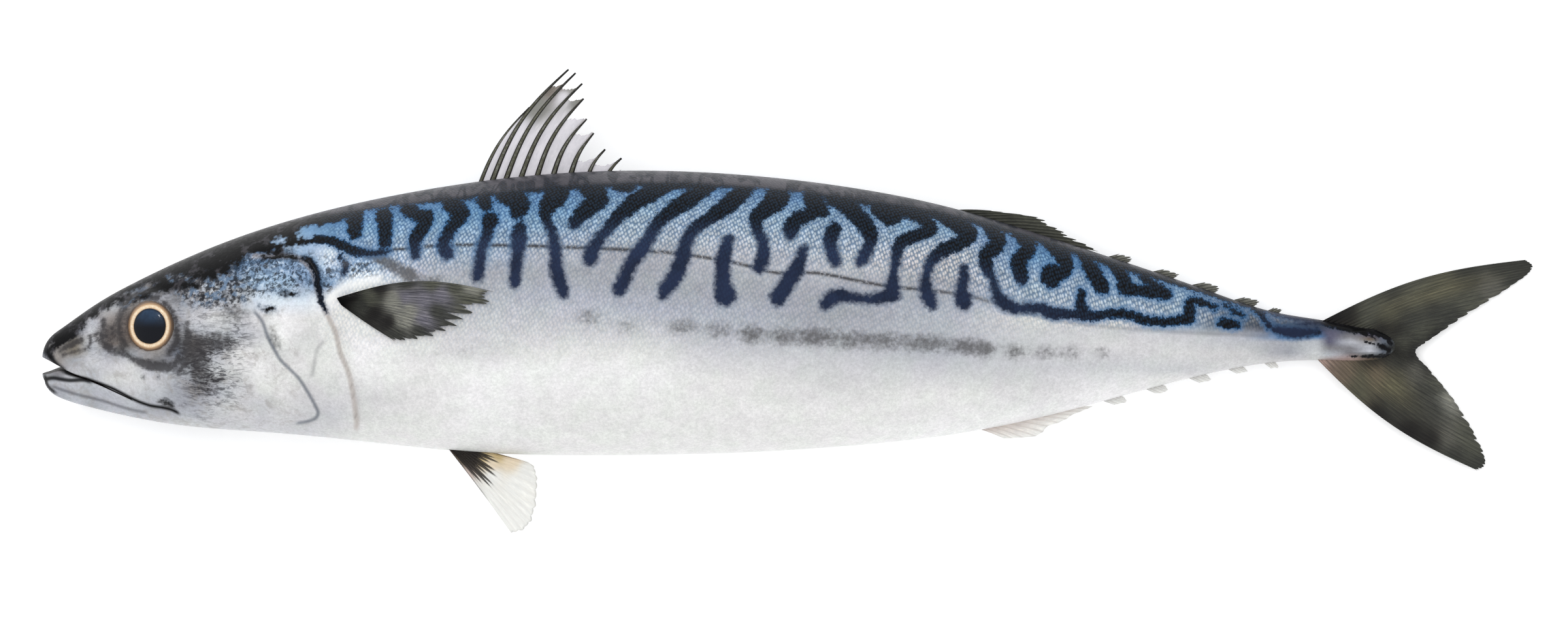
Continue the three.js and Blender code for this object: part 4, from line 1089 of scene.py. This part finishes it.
def skin_zones(x, y):
    """How strongly each part of the skin's pattern shows at each place, by the name its material uses."""
    below_back = back_height(x) - y
    head = step_between(66, 54, x)
    blue = step_between(16, 27, y) * step_between(118, 98, x) * step_between(60, 72, x)
    blue += 0.25 * step_between(36, 50, x) * step_between(300, 288, x)
    blue += 0.8 * step_between(208, 232, x) * step_between(292, 276, x)
    rear = step_between(190, 245, x)
    scaly = step_between(60, 72, x) * step_between(-5 + 9 * rear, 10 - 2 * rear, y)
    scaly *= step_between(296, 278, x)
    low = step_between(9, 16, below_back) * step_between(60, 80, x) * step_between(250, 215, x)
    low += step_between(276, 281, x) * step_between(293, 289, x)
    fold, ends = line_distance(x, y, FOLD_BAND)
    return {
        "head": head,
        "crown": head * step_between(-3, 5, y),
        "nape": patch_amount(x, y, NAPE_PATCHES),
        "cheek": patch_amount(x, y, CHEEK_PATCHES),
        "blue": np.clip(blue, 0, 1),
        "scaly": scaly * (0.3 + 0.7 * step_between(22, 13, below_back)),
        "low": low,
        # Painted sheen: where the grey reflection along the very top of the back is painted.
        "top_sheen": step_between(0.5, -0.7, below_back - sheen_band(x)),
        "side_fade": 1 - 0.7 * step_between(190, 240, x),
        "fold_band": ends * bump_at(fold, 1.1),
    }


def mark_skin(mesh):
    """Stores on the skin what its material draws with: colours, distances to marks, and scale places."""
    x, y, z = to_drawn(read_numbers(mesh.vertices, "co", float, 3).reshape(-1, 3)).T
    mx, my = shifted_flank(x, y, z)
    store_paint(mesh, column_paint(x, y))
    store(mesh, "scales", scale_places(x, y, z))
    store(mesh, "black", black_distance(x, y, mx, my))
    store(mesh, "smudge_and_socket_shade", smudge_and_socket_shade_amount(x, y, mx, my))
    for name, amount in skin_zones(x, y).items():
        store(mesh, name, amount)
    for name, line, *_ in [*SKIN_LINES, ("side_line", LATERAL_LINE)]:
        signed, ends = line_distance(x, y, line)
        store(mesh, name, np.stack([signed, ends, np.zeros_like(signed)], axis=-1))


class Skin(Material):
    """The fish's skin, painted in layers from its plain colours up to the painted sheen along its back."""

    def __init__(self):
        super().__init__("mackerel_skin", Metallic=0.08, Specular_IOR_Level=0.1, Coat_Weight=0.09,
                         Coat_Roughness=0.14, Coat_IOR=1.38)
        self.fine = self.noise(0.95, 3, 0.6)
        self.coarse = self.noise(0.16, 3, 0.55)
        self.head = self.attribute("head")
        self.scaly = self.attribute("scaly")
        # Scales: slanting rows of small cells, each with a bright fleck.
        slant = self.stretched(self.attribute("scales", 1), (1, 0.72, 1), 0.5)
        inputs = {"Vector": slant, "Scale": 1.5, "Randomness": 0.42}
        self.cell = self.add("ShaderNodeTexVoronoi", 0, inputs, voronoi_dimensions="2D")
        self.flecks = self.span(self.cell, 0.56, 0.16) * self.scaly

    def scales(self):
        """The plain colours, flickering light and dark with the scales."""
        base = self.attribute("paint", 0)
        darker = self.mix(self.scaly * 0.72, base, self.shade(base, (0.3, 0.42, 0.56, 1)))
        colour = self.mix(self.flecks * 0.85, darker, self.shade(base, (1.78, 1.6, 1.4, 1)))
        cell_colour = Value(self, self.cell.socket.node.outputs[1])
        tone = self.add("ShaderNodeRGBToBW", 0, {0: cell_colour})
        uneven = self.shade(colour, self.span(tone, 0.2, 0.9, 0.78, 1.18))
        return self.mix(self.scaly * 0.8, colour, uneven)

    def silver_grain(self, colour):
        """Mottles and grains the silver of the flank and belly, with a little violet and green."""
        grain = self.span(self.noise(1.5, 4, 0.8), 0.3, 0.72, 0.85, 1.07)
        mottle = self.span(self.noise(0.34, 4, 0.65), 0.3, 0.7, 0.93, 1.03)
        sheen = self.mix(self.span(self.coarse, 0.35, 0.7), (1.0, 0.985, 1.012, 1), (0.985, 1.0, 0.992, 1))
        return self.shade(self.shade(self.shade(colour, grain), mottle), sheen)

    def cheek_marks(self, colour):
        """Grey clouds on the head, smudges and streaks on the cheek, and painted shade round the eye socket.
        """
        cloud = self.span(self.noise(0.28, 4, 0.7, 0.4), 0.47, 0.68, 0.0, 0.5)
        colour = self.tint(self.head * cloud, colour, "warm_grey")
        streak = self.noise(0.9, 3, 0.65, 1.2, self.stretched(self.place, (0.35, 1.5, 1), 0.35))
        cheek = self.attribute("cheek")
        colour = self.tint(cheek * self.span(streak, 0.46, 0.62, 0.0, 0.95), colour, "charcoal")
        smudge_and_socket_shade = self.attribute("smudge_and_socket_shade")
        hair = (streak - 0.5) * (cheek * 1.3) * self.span(smudge_and_socket_shade, 0.02, 0.3)
        broken = smudge_and_socket_shade + (self.fine - 0.5) + hair
        near = self.math("MINIMUM", smudge_and_socket_shade * 3.0, 1.0)
        ink = self.mix(self.head, linear("dusk"), linear("soot"))
        return self.mix(self.span(broken, 0.05, 0.85) * near * 0.88, colour, ink)

    def nape_specks(self, colour):
        """Black, icy and blue specks on the nape and the upper gill cover."""
        nape = self.attribute("nape")
        specks = self.noise(0.95, 3, 0.7, 0.3)
        dark = self.span(specks + nape * 0.1, 0.5, 0.66, 0.0, 0.85)
        colour = self.tint(self.span(nape, 0.05, 0.5) * dark, colour, "night")
        colour = self.tint(nape * self.span(specks, 0.44, 0.33, 0.0, 0.6), colour, "ice")
        blue = self.span(self.noise(0.5, 2, 0.6), 0.5, 0.62, 0.0, 0.55)
        return self.tint(nape * blue, colour, "gill_blue")

    def drawn_lines(self, colour):
        """The lines of the gill covers, the jaws and the flank, over the pale fold behind the gills; those of
        the lips and mouth are painted shade.
        """
        colour = self.tint(self.attribute("fold_band") * 0.8, colour, "bright")
        for name, _, width, softness, strength, ink in SKIN_LINES:
            colour = self.tint(self.line(name, width, softness) * strength, colour, ink)
        dashes = self.span(self.noise(1.5, 2, 0.6), 0.36, 0.5, 0.35, 1.0)
        side = self.line("side_line", 0.8, 0.4) * (dashes * 0.9 * self.attribute("side_fade"))
        return self.tint(side, colour, "soot")

    def bar_edge(self):
        """Distance to the black, made ragged by grain, by the scales and by tears on the crown."""
        torn = (self.noise(0.42, 3, 0.6) - 0.5) * (self.attribute("crown") * 3.8)
        return self.attribute("black") + torn + (self.fine - 0.5) * 2.1 + (self.cell - 0.36) * self.scaly

    def bars(self, colour):
        """The black bars, with a blue glow beside them and patches of painted grey sheen on the head's black.
        """
        edge = self.bar_edge()
        blue = self.attribute("blue")
        low = self.attribute("low")
        colour = self.tint(self.span(edge, 1.2, 0.1) * (blue * 0.5), colour, "deep_blue")
        rim = self.mix(blue, linear("night"), linear("teal"))
        ink = self.mix(self.span(edge, 0.15, -0.55), rim, linear("black"))
        ink = self.tint(low * self.span(self.coarse, 0.3, 0.65, 0.55, 0.95), ink, "indigo")
        ink = self.tint(self.flecks * 0.1, ink, "deep_blue")
        # Painted sheen: soft grey gloss patches on the black of the head.
        patch = self.span(self.noise(0.3, 3, 0.65), 0.52, 0.66, 0.0, 0.42)
        ink = self.tint(self.head * patch, ink, "sheen_grey")
        spread = low * 0.5 + self.head * 0.45 + 0.25
        return self.mix(self.span(edge, spread, spread * -1.0), colour, ink)

    def painted_back_sheen(self, colour):
        """Painted sheen: a grey reflection along the very top of the back, in faint waves."""
        across = self.stretched(self.attribute("scales", 1), (0.34, 0.09, 1))
        waves = self.span(self.noise(1.0, 2, 0.5, 1.2, across), 0.43, 0.57, 0.3, 1.0)
        top_sheen = self.attribute("top_sheen") * self.span(self.coarse, 0.3, 0.6, 0.5, 0.85)
        return self.tint(top_sheen * waves, colour, "sheen_grey")


def skin_material():
    m = Skin()
    colour = m.scales()
    for layer in (m.silver_grain, m.cheek_marks, m.nape_specks, m.drawn_lines, m.bars, m.painted_back_sheen):
        colour = layer(colour)
    height = m.flecks * 0.6 + m.noise(1.6, 3, 0.6) * 0.8
    return m.finish(colour, Normal=m.bump(height, 0.5, 0.12), Roughness=m.span(m.fine, 0.25, 0.75, 0.34, 0.5))


def lining_material():
    m = Material("mouth_lining", Specular_IOR_Level=0.05, Coat_Weight=0.03, Coat_Roughness=0.1)
    # The lining is painted dark: painted shade inside the mouth over the lining's own colour.
    colour = m.mix(m.span(m.noise(0.5, 3, 0.6), 0.35, 0.65), linear("lining_shade"), linear("soot"))
    return m.finish(colour, Normal=m.bump(m.noise(1.2), 0.5, 0.2), Roughness=0.5)


def make_body():
    skin = cut_mouth(body_mesh(), skin_material(), lining_material())
    sharpen_mouth_edges(skin)
    mark_skin(skin)
    add_piece("body_skin", skin, None, "body")


# --- The eyes ----------------------------------------------------------------------------------------------
def eye_points(side):
    """The eyeball's rings of points, each ring's radius, and how high each point is in its eye."""
    x0, y0 = EYE
    rings = np.array(EYE_RINGS, float)
    dome = EYE_DEPTH * np.sqrt(np.clip(1 - (rings / EYE_RADIUS) ** 2, 0, 1))
    dome += 0.16 * bump_at(rings - 4.4, 0.5) - 0.1 * bump_at(rings - 3.85, 0.2)
    radius = np.concatenate([rings[1:], rings[1:-1][::-1]])
    lift = np.concatenate([dome[1:], -EYE_BACK * dome[1:-1][::-1]])
    spoke = np.arange(EYE_SPOKES) * 2 * math.pi / EYE_SPOKES
    dx = radius[:, None] * np.cos(spoke)
    dy = radius[:, None] * np.sin(spoke)
    reach = EYE_SLOPE_REACH
    slope_x = float(flank_z(x0 + reach, y0, side) - flank_z(x0 - reach, y0, side)) / (2 * reach)
    slope_y = float(flank_z(x0, y0 + reach, side) - flank_z(x0, y0 - reach, side)) / (2 * reach)
    level = float(flank_z(x0, y0, side)) - side * EYE_SINK
    z = level + slope_x * dx + slope_y * dy + side * lift[:, None]
    shell = np.stack([x0 + dx, y0 + EYE_TALL * dy, z], axis=-1).reshape(-1, 3)
    poles = [[x0, y0, level + side * high] for high in (dome[0], -EYE_BACK * dome[0])]
    return np.concatenate([shell, poles]), radius, dy


def make_eye(side, material):
    """An eyeball seen square on: a dark pupil dome in a raised gold ring, sunk in its socket."""
    points, radius, high = eye_points(side)
    faces = [face[::side] for face in capped_faces(len(radius), EYE_SPOKES)]
    node = "left_eye" if side > 0 else "right_eye"
    mesh = new_mesh(f"{node}ball", points, faces)
    store(mesh, "radius", np.concatenate([np.repeat(radius, EYE_SPOKES), [0, 0]]))
    store(mesh, "up", np.concatenate([high.ravel(), [0, 0]]))
    add_piece(f"{node}ball", mesh, material, node)


def eye_material():
    m = Material("eye", Coat_Weight=0.3, Coat_Roughness=0.02, Specular_IOR_Level=0.1)
    radius = m.attribute("radius") + (m.noise(0.8) - 0.5) * 0.12
    # Painted reflection: the pupil turns a lighter blue towards its top.
    top_reflection = m.span(m.attribute("up"), -0.6, 3.4) * m.span(m.noise(0.35), 0.3, 0.6, 0.5, 1.0)
    pupil = m.mix(top_reflection, linear("pupil"), linear("pupil_reflection"))
    pupil = m.tint(m.span(radius, 3.1, 3.7, 0.0, 0.7), pupil, "black")
    grain = m.span(m.noise(2.4, 3, 0.6), 0.3, 0.7)
    ring = m.mix(grain, linear("gold"), linear("cream"))
    for start, end, strength, colour in [
        (4.1, PUPIL_RADIUS, 0.6, "dark_gold"), (4.3, 4.75, 0.85, "dark_gold"), (4.65, 5.15, 1.0, "eye_rim"),
    ]:
        ring = m.tint(m.span(radius, start, end, 0.0, strength), ring, colour)
    colour = m.mix(m.span(radius, PUPIL_RADIUS - 0.07, PUPIL_RADIUS + 0.07), pupil, ring)
    return m.finish(colour, Normal=m.bump(grain, 0.3, 0.05), Roughness=0.25)


def make_eyes():
    material = eye_material()
    for side in (1, -1):
        make_eye(side, material)


# --- Fins --------------------------------------------------------------------------------------------------
class Fan:
    """Rays spread between the drawn ones. u runs across the fan, and t out along its rays, each 0 to 1."""

    def __init__(self, bases, tips, bows):
        self.bases = np.array(bases, float)
        self.tips = np.array(tips, float)
        self.bows = np.array(bows, float)[:, None]

    def place(self, u, t):
        base = rounded_path(self.bases, u)
        bow = rounded_path(self.bows, u)[..., 0]
        run = rounded_path(self.tips, u) - base
        swell = bow * np.sin(math.pi * t) / np.hypot(run[..., 0], run[..., 1])
        x = base[..., 0] + run[..., 0] * t - run[..., 1] * swell
        y = base[..., 1] + run[..., 1] * t + run[..., 0] * swell
        return x, y


def free_fan(rows):
    """A fan from (base x, base y, tip x, tip y, bow) rows."""
    return Fan([row[:2] for row in rows], [row[2:4] for row in rows], [row[4] for row in rows])


def edge_fan(rows, edge, inward):
    """A fan from (base x, tip x, tip y, bow) rows, with its roots inward of the back or belly."""
    return free_fan([(x, float(edge(x)) + inward, *rest) for x, *rest in rows])


def ridges(u, rays, sharpness=2.0):
    """1 on each of a fan's rays and 0 midway between them."""
    return np.abs(np.cos(math.pi * u * (rays - 1))) ** sharpness


def frayed_reach(u, rays, seed, uneven=0.03, notch=0.05, slits=0.0):
    """How far out each column of a fan goes, with uneven rays, notches between them and a few deep slits."""
    ray = u * (rays - 1)
    lengths = 1 - uneven * np.interp(ray, np.arange(rays), seeded(rays, seed))
    deep = 1 + slits * (seeded(rays, seed + 1) > 0.7)[np.clip(ray.astype(int), 0, rays - 1)]
    return lengths - notch * deep * (1 - ridges(u, rays, 0.8))


def sheet_faces(columns, rows):
    """The quads that close a two-faced sheet: both faces and the rim round them."""
    front = grid_faces(columns, rows)
    under = columns * rows
    i = np.arange(columns - 1) * rows
    j = np.arange(rows - 1)
    rim = []
    for start, end in [(i, i + rows), (i + 2 * rows - 1, i + rows - 1), (j + 1, j),
                       (under - rows + j, under - rows + j + 1)]:
        rim.append(np.stack([start, start + under, end + under, end], axis=-1))
    return np.concatenate([front, front[:, ::-1] + under, *rim]).tolist()


def outward(points, faces):
    """Turns the faces of a closed mesh outwards."""
    a, b, c, d = (points[[face[k] for face in faces]] for k in (0, 1, 2, -1))
    volume = np.einsum("ij,ij->i", a, np.cross(b, c)).sum() + np.einsum("ij,ij->i", a, np.cross(c, d)).sum()
    return faces if volume > 0 else [face[::-1] for face in faces]


def sheet_part(fan, u, t, reach, middle, half, paint, rays):
    """A thin sheet over a fan: its points, faces, and colours, ray numbers and shares out along the rays."""
    uu, tt = np.meshgrid(u, t, indexing="ij")
    tt = tt * reach[:, None]
    x, y = fan.place(uu, tt)
    centre = middle(x, y, uu, tt)
    thick = half(uu, tt)
    sides = [np.stack([x, y, z], axis=-1).reshape(-1, 3) for z in (centre + thick, centre - thick)]
    points = np.concatenate(sides)
    colours = paint(x.ravel(), y.ravel(), uu.ravel(), tt.ravel())
    numbers = {"ray": np.tile((uu * rays).ravel(), 2), "out": np.tile(tt.ravel(), 2)}
    return points, outward(points, sheet_faces(len(u), len(t))), np.tile(colours, (2, 1)), numbers


def fin_part(fan, rays, columns_per_ray, steps, reach, middle, half, paint):
    """One whole fin as a sheet."""
    u = np.linspace(0, 1, (rays - 1) * columns_per_ray + 1)
    t = np.linspace(0, 1, steps + 1) ** 0.9
    return sheet_part(fan, u, t, reach(u), middle, half, paint, rays - 1)


def add_fin(name, parts, material, node):
    """Joins parts in one mesh, with their face corners renumbered, and adds it as a piece."""
    points, faces, colours, numbers = zip(*parts)
    starts = np.cumsum([0, *map(len, points)])
    joined = [[corner + start for corner in face] for start, own in zip(starts, faces) for face in own]
    mesh = new_mesh(name, np.concatenate(points), joined)
    store_paint(mesh, np.concatenate(colours))
    for key in ("ray", "out"):
        store(mesh, key, np.concatenate([own[key] for own in numbers]))
    add_piece(name, mesh, material, node)


def fin_material(name, streak, ray_shade, ray_colour="black", **settings):
    """Skin stretched over rays: painted colour, streaked along the rays and darker on them."""
    m = Material(name, Roughness=0.45, Specular_IOR_Level=0.18, Coat_Weight=0.12, **settings)
    ray = m.attribute("ray")
    out = m.attribute("out")
    lines = m.noise(1.0, 4, 0.65, vector=m.vector(ray * 2.6, out * 5.0))
    fine = m.noise(1.0, 2, 0.6, vector=m.vector(ray * 7.0, out * 16.0))
    speck = m.noise(1.7, 3, 0.7)
    colour = m.attribute("paint", 0)
    light = m.shade(colour, (2.0, 1.96, 1.84, 1))
    dark = m.shade(colour, (0.38, 0.38, 0.42, 1))
    for grain, start, end, strength, tone in [
        (lines, 0.5, 0.72, 1.0, light), (lines, 0.5, 0.3, 1.0, dark), (fine, 0.55, 0.7, 0.55, light),
        (fine, 0.47, 0.34, 0.6, dark), (speck, 0.55, 0.75, 0.35, light),
    ]:
        colour = m.mix(m.span(grain, start, end) * (streak * strength), colour, tone)
    wave = m.math("COSINE", ray * (2 * math.pi))
    colour = m.tint(m.span(wave, 0.3, 1.0) * ray_shade, colour, ray_colour)
    return m.finish(colour, Normal=m.bump(wave * 0.5 + lines, 0.6, 0.12))


def tapered(root, tip, ridge, rays):
    """A sheet's half thickness: root to tip, thicker on its rays."""
    return lambda u, t: root + (tip - root) * t + ridge * ridges(u, rays) * (1 - 0.7 * t)


def spine_level(wave, offset=0.0, hang=0.0, root_y=0.0):
    """A sheet's middle: beside the backbone, sinking as it goes out, and waved along its length."""
    def level(x, y, u, t):
        return spine_height(x) + offset + hang * np.abs(y - root_y) + wave * t * np.sin(9 * u + 4 * t)
    return level


# --- The tail fin ------------------------------------------------------------------------------------------
def tail_reach(u):
    """The lobes' outer edges are smoother than the ragged edge of the fork."""
    inner = step_between(0.12, 0.3, u) * step_between(0.9, 0.75, u)
    frayed = frayed_reach(u, TAIL_RAY_COUNT, 5, 0.014, 0.02, 1.5)
    return 1 - (1 - frayed) * (0.25 + 0.75 * inner)


def tail_paint(x, y, u, t):
    """The spots, with golden streaks on each lobe."""
    upper = bump_at(u - 0.13, 0.07) * bump_at(t - 0.5, 0.25)
    lower = bump_at(u - 0.8, 0.09) * bump_at(t - 0.3, 0.2)
    streaks = 0.5 * np.maximum(upper, lower) * ridges(u, 2 * TAIL_RAY_COUNT, 3)
    return toned(spot_paint(x, y, TAIL_SPOTS, 5), "fin_gold", streaks)


def tail_half_thickness(u, t):
    rim = bump_at(np.minimum(u, 1 - u), 0.03)
    rays = 0.16 * ridges(u, TAIL_RAY_COUNT) * (1 - 0.5 * t)
    return (0.9 + 0.25 * rim) * (1 - 0.62 * t) + rays - 0.35 * bump_at(t - 1, 0.12)


def make_tail_fin():
    part = fin_part(free_fan(TAIL_RAYS), TAIL_RAY_COUNT, 4, 70, tail_reach, spine_level(0.25),
                    tail_half_thickness, tail_paint)
    add_fin("tail_fin_skin", [part], fin_material("tail_skin", 0.6, 0.3), "tail_fin")


# --- The first dorsal fin ----------------------------------------------------------------------------------
def tube_part(line, radii, sides, colour):
    """A tapered tube along a line of points, closed at both ends, flatter than it is wide."""
    run = np.gradient(line, axis=0)
    run /= np.linalg.norm(run, axis=1, keepdims=True)
    across = np.cross(run, [0, 0, 1])
    across /= np.linalg.norm(across, axis=1, keepdims=True)
    up = np.cross(across, run)
    turn = np.arange(sides) * 2 * math.pi / sides
    ring = across[:, None] * np.cos(turn)[:, None] + up[:, None] * np.sin(turn)[:, None] * 0.8
    shell = (line[:, None] + ring * radii[:, None, None]).reshape(-1, 3)
    points = np.concatenate([shell, line[[0, -1]]])
    # For the spine's material, 'ray' holds how far each point faces sideways, where the spine is painted dark
    # as shade.
    numbers = {
        "ray": np.concatenate([np.tile(np.abs(np.cos(turn)), len(line)), [0.5, 0.5]]),
        "out": np.concatenate([np.repeat(np.linspace(0, 1, len(line)), sides), [0, 1]]),
    }
    faces = outward(points, capped_faces(len(line), sides))
    return points, faces, np.tile(colour, (len(points), 1)), numbers


def dorsal_spine(fan, index):
    t = np.linspace(0, 1, 30)
    x, y = fan.place(np.full(t.shape, index / SPINE_COUNT), t)
    z = spine_height(x) + 0.1 * np.sin(6 * t + index)
    root = SPINE_ROOT_RADIUS * (THIN_SPINE_SHARE if index in THIN_SPINES else 1)
    radii = root + (SPINE_TIP_RADIUS - root) * t**1.1
    return tube_part(np.column_stack([x, y, z]), radii, SPINE_SIDES, rgb("fin_olive"))


def dorsal_panel(fan, index):
    """The membrane between one spine and the next, up to a ragged edge."""
    columns, steps = 15, 46
    share = np.linspace(0, 1, columns)
    u = (index + share) / SPINE_COUNT
    root = rounded_path(fan.bases, u)[:, 1]
    tip = rounded_path(fan.tips, u)[:, 1]
    top = PANEL_TOPS[index] - 1.1 * np.sin(math.pi * share) * seeded(1, 40 + index)[0]
    top += 0.5 * (seeded(columns, 60 + index) - 0.5) - 0.7 * (1 - share)
    reach = np.clip((top - root) / (tip - root), 0.1, 1)

    def middle(x, y, uu, tt):
        local = uu * SPINE_COUNT - index
        return spine_height(x) + 0.3 * np.sin(math.pi * local) ** 2 * np.sin(5 * tt + index)

    return sheet_part(fan, u, np.linspace(0, 1, steps), reach, middle,
                      lambda u, t: np.full(u.shape, MEMBRANE_HALF_THICKNESS),
                      lambda x, y, u, t: spot_paint(x, y, DORSAL_SPOTS), SPINE_COUNT)


def spine_material():
    m = Material("dorsal_spine", Roughness=0.4, Specular_IOR_Level=0.2, Coat_Weight=0.12)
    grain = m.noise(1.3, 3, 0.7)
    # Painted shade: each spine is darker on its sides than on its top; it also darkens towards its tip.
    rim = m.attribute("ray") + (grain - 0.5) * 0.9
    core = m.mix(m.span(grain, 0.45, 0.7), linear("fin_olive"), linear("fin_pale"))
    dark = m.math("MAXIMUM", m.span(rim, 0.38, 0.66), m.span(m.attribute("out"), 0.55, 0.95, 0.0, 0.9))
    return m.finish(m.tint(dark, core, "fin_black"), Normal=m.bump(grain, 0.4, 0.08))


def make_first_dorsal_fin():
    fan = edge_fan(FIRST_DORSAL_SPINES, back_height, -FIN_EMBED)
    membrane = fin_material("dorsal_membrane", 0.12, 0.42, "fin_brown", Alpha=0.72)
    for name, make_part, material in [("spines", dorsal_spine, spine_material()),
                                      ("membrane", dorsal_panel, membrane)]:
        parts = [make_part(fan, index) for index in range(SPINE_COUNT)]
        add_fin(f"first_dorsal_{name}", parts, material, "first_dorsal_fin")


# --- The low fins and finlets ------------------------------------------------------------------------------
def even_paint(root, tip):
    """A colour that runs from one name at the root to another at the tip."""
    return lambda x, y, u, t: rgb(root) + (rgb(tip) - rgb(root)) * t[:, None]


def finlet_rows(row, edge):
    """A finlet's three rays: a low one in front, the one with the tip, and a short one behind."""
    start, end, tip_x, tip_y = row
    lift = tip_y - float(edge(tip_x))
    shoulder_x = start + FINLET_SHOULDER * (tip_x - start)
    hind_x = tip_x - FINLET_HIND_SETBACK
    return [
        (start, shoulder_x, float(edge(shoulder_x)) + lift, 0), ((start + end) / 2, tip_x, tip_y, 0),
        (end, hind_x, float(edge(hind_x)) + FINLET_HIND_CORNER * lift, 0),
    ]


def make_low_fin(node, rows, border, rays, notch, paint):
    """A fin on a border, which is the edge it stands on, how far its roots go in, its material and its slot,
    which is not used.
    """
    edge, inward, material, slot = border
    fan = edge_fan(rows, edge, inward)
    part = fin_part(fan, rays, 5, 26, lambda u: frayed_reach(u, rays, 11, 0.08, notch, 1),
                    spine_level(0.15), tapered(0.3, 0.12, 0.16, rays), paint)
    add_fin(f"{node}_skin", [part], material, node)


def make_finlets(name, finlets, border, notch, paint, seed):
    edge, inward, material, slot = border
    rays = FINLET_RAY_COUNT
    for index, row in enumerate(finlets):
        fan = edge_fan(finlet_rows(row, edge), edge, inward)
        part = fin_part(fan, rays, 6, 16, lambda u: frayed_reach(u, rays, seed + index, 0.1, notch, 0.8),
                        spine_level(0.1), tapered(0.26, 0.1, 0.16, rays), paint)
        node = f"{name}_{index + 1}"
        add_fin(f"{node}_skin", [part], material, node)


def make_low_fins():
    """The fins and finlets along the back, which are dark, and along the belly, which are pale."""
    back = (back_height, -FIN_EMBED, fin_material("dark_fin_skin", 0.7, 0.6), "dark_fin")
    pale = fin_material("pale_fin_skin", 0.18, 0.3, "gill_brown", Alpha=0.9)
    belly = (belly_height, FIN_EMBED, pale, "pale_fin")
    make_low_fin("second_dorsal_fin", SECOND_DORSAL_RAYS, back, 13, 0.12, even_paint("fin_dark", "fin_mid"))
    make_low_fin("anal_fin", ANAL_RAYS, belly, 12, 0.015, even_paint("blush", "clear_white"))
    make_finlets("dorsal_finlet", DORSAL_FINLETS, back, 0.12, even_paint("fin_dark", "fin_pale"), 20)
    make_finlets("anal_finlet", ANAL_FINLETS, belly, 0.02, even_paint("stalk_grey", "clear_white"), 30)


# --- The paired fins ---------------------------------------------------------------------------------------
def make_pectoral_fin(name, side, material):
    rays = PECTORAL_RAY_COUNT

    def reach(u):
        bunch = np.interp(u, PECTORAL_TIPS, np.arange(len(PECTORAL_TIPS))) % 1
        gap = 1 - np.abs(2 * bunch - 1)
        depth = 0.045 + 0.12 * bump_at(u - 0.38, 0.22)
        return frayed_reach(u, rays, 7 + side, 0.03, 0.03, 1) - depth * gap

    def middle(x, y, u, t):
        lift = PECTORAL_CLEARANCE + PECTORAL_THICKNESS / 2 + 0.12 * t * np.sin(14 * u)
        return flank_z(x, y, side) + side * lift

    part = fin_part(free_fan(PECTORAL_RAYS), rays, 6, 60, reach, middle, tapered(0.17, 0.08, 0.1, rays),
                    lambda x, y, u, t: spot_paint(x, y, PECTORAL_SPOTS, 0.8))
    add_fin(f"{name}_skin", [part], material, name)


def pelvic_paint(x, y, u, t):
    """The spots, with a black root that ends raggedly on the rays, and a dark front edge."""
    colours = spot_paint(x, y, PELVIC_SPOTS, 0.5)
    length = 0.47 - 0.1 * u + 0.14 * (ridges(u, PELVIC_RAY_COUNT, 1.5) - 0.5) + 0.06 * np.sin(31 * u)
    root = step_between(0.07, 0.12, u) * step_between(0.84, 0.76, u) * step_between(length, length - 0.06, t)
    front = 0.6 * step_between(0.05, 0.02, u) * step_between(0.66, 0.5, t)
    return toned(colours, "fin_black", 0.94 * np.maximum(root, front))


def make_pelvic_fin(name, side, material):
    rays = PELVIC_RAY_COUNT
    fan = edge_fan(PELVIC_RAYS, belly_height, FIN_EMBED)
    root_y = float(belly_height(PELVIC_RAYS[0][0]))
    level = spine_level(0.3, PELVIC_OFFSET * side, PELVIC_HANG[side], root_y)
    part = fin_part(fan, rays, 8, 44, lambda u: frayed_reach(u, rays, 50, 0.025, 0.02), level,
                    tapered(0.3, 0.1, 0.14, rays), pelvic_paint)
    add_fin(f"{name}_skin", [part], material, name)


def make_paired_fins():
    dark = fin_material("pectoral_skin", 1.0, 0.4)
    clear = fin_material("pelvic_skin", 0.12, 0.1, "gill_brown", Alpha=0.82)
    for name, side in [("left", 1), ("right", -1)]:
        make_pectoral_fin(f"{name}_pectoral_fin", side, dark)
        make_pelvic_fin(f"{name}_pelvic_fin", side, clear)


# --- The studio --------------------------------------------------------------------------------------------
def make_floor():
    half = FLOOR_HALF
    corners = [(-half, -half, 0), (half, -half, 0), (half, half, 0), (-half, half, 0)]
    m = Material("pale_floor", Roughness=0.8, Specular_IOR_Level=0.1, Emission_Color=(1, 1, 1, 1),
                 Emission_Strength=0.3)
    mesh = new_mesh("floor", corners, [[0, 1, 2, 3]])
    mesh.materials.append(m.finish(m.span(m.noise(0.004), 0.3, 0.7, 0.93, 0.95)))
    add_object("floor", mesh)


def make_lamp(name, place, side, power, mirrored):
    data = bpy.data.lights.new(name, "AREA")
    data.shape = "SQUARE"
    data.size = side
    data.energy = power
    lamp = add_object(name, data)
    lamp.visible_glossy = mirrored
    lamp.location = place
    lamp.rotation_euler = (-lamp.location).to_track_quat("-Z", "Y").to_euler()


def make_camera():
    data = bpy.data.cameras.new("camera")
    data.lens = LENS
    data.sensor_width = SENSOR
    data.clip_start = NEAREST_SEEN
    camera = add_object("camera", data)
    camera.location = to_frame([*CAMERA_CENTRE, CAMERA_HEIGHT])
    bpy.context.scene.camera = camera


def make_studio():
    make_floor()
    for lamp in LAMPS:
        make_lamp(*lamp)
    make_camera()
    world = bpy.data.worlds.new("white_studio")
    world.use_nodes = True
    sky = world.node_tree.nodes["Background"].inputs
    sky["Color"].default_value = SKY_COLOUR
    sky["Strength"].default_value = SKY_STRENGTH
    bpy.context.scene.world = world
    bpy.context.scene.view_settings.view_transform = "Standard"


make_body()
make_eyes()
make_tail_fin()
make_first_dorsal_fin()
make_low_fins()
make_paired_fins()
make_studio()
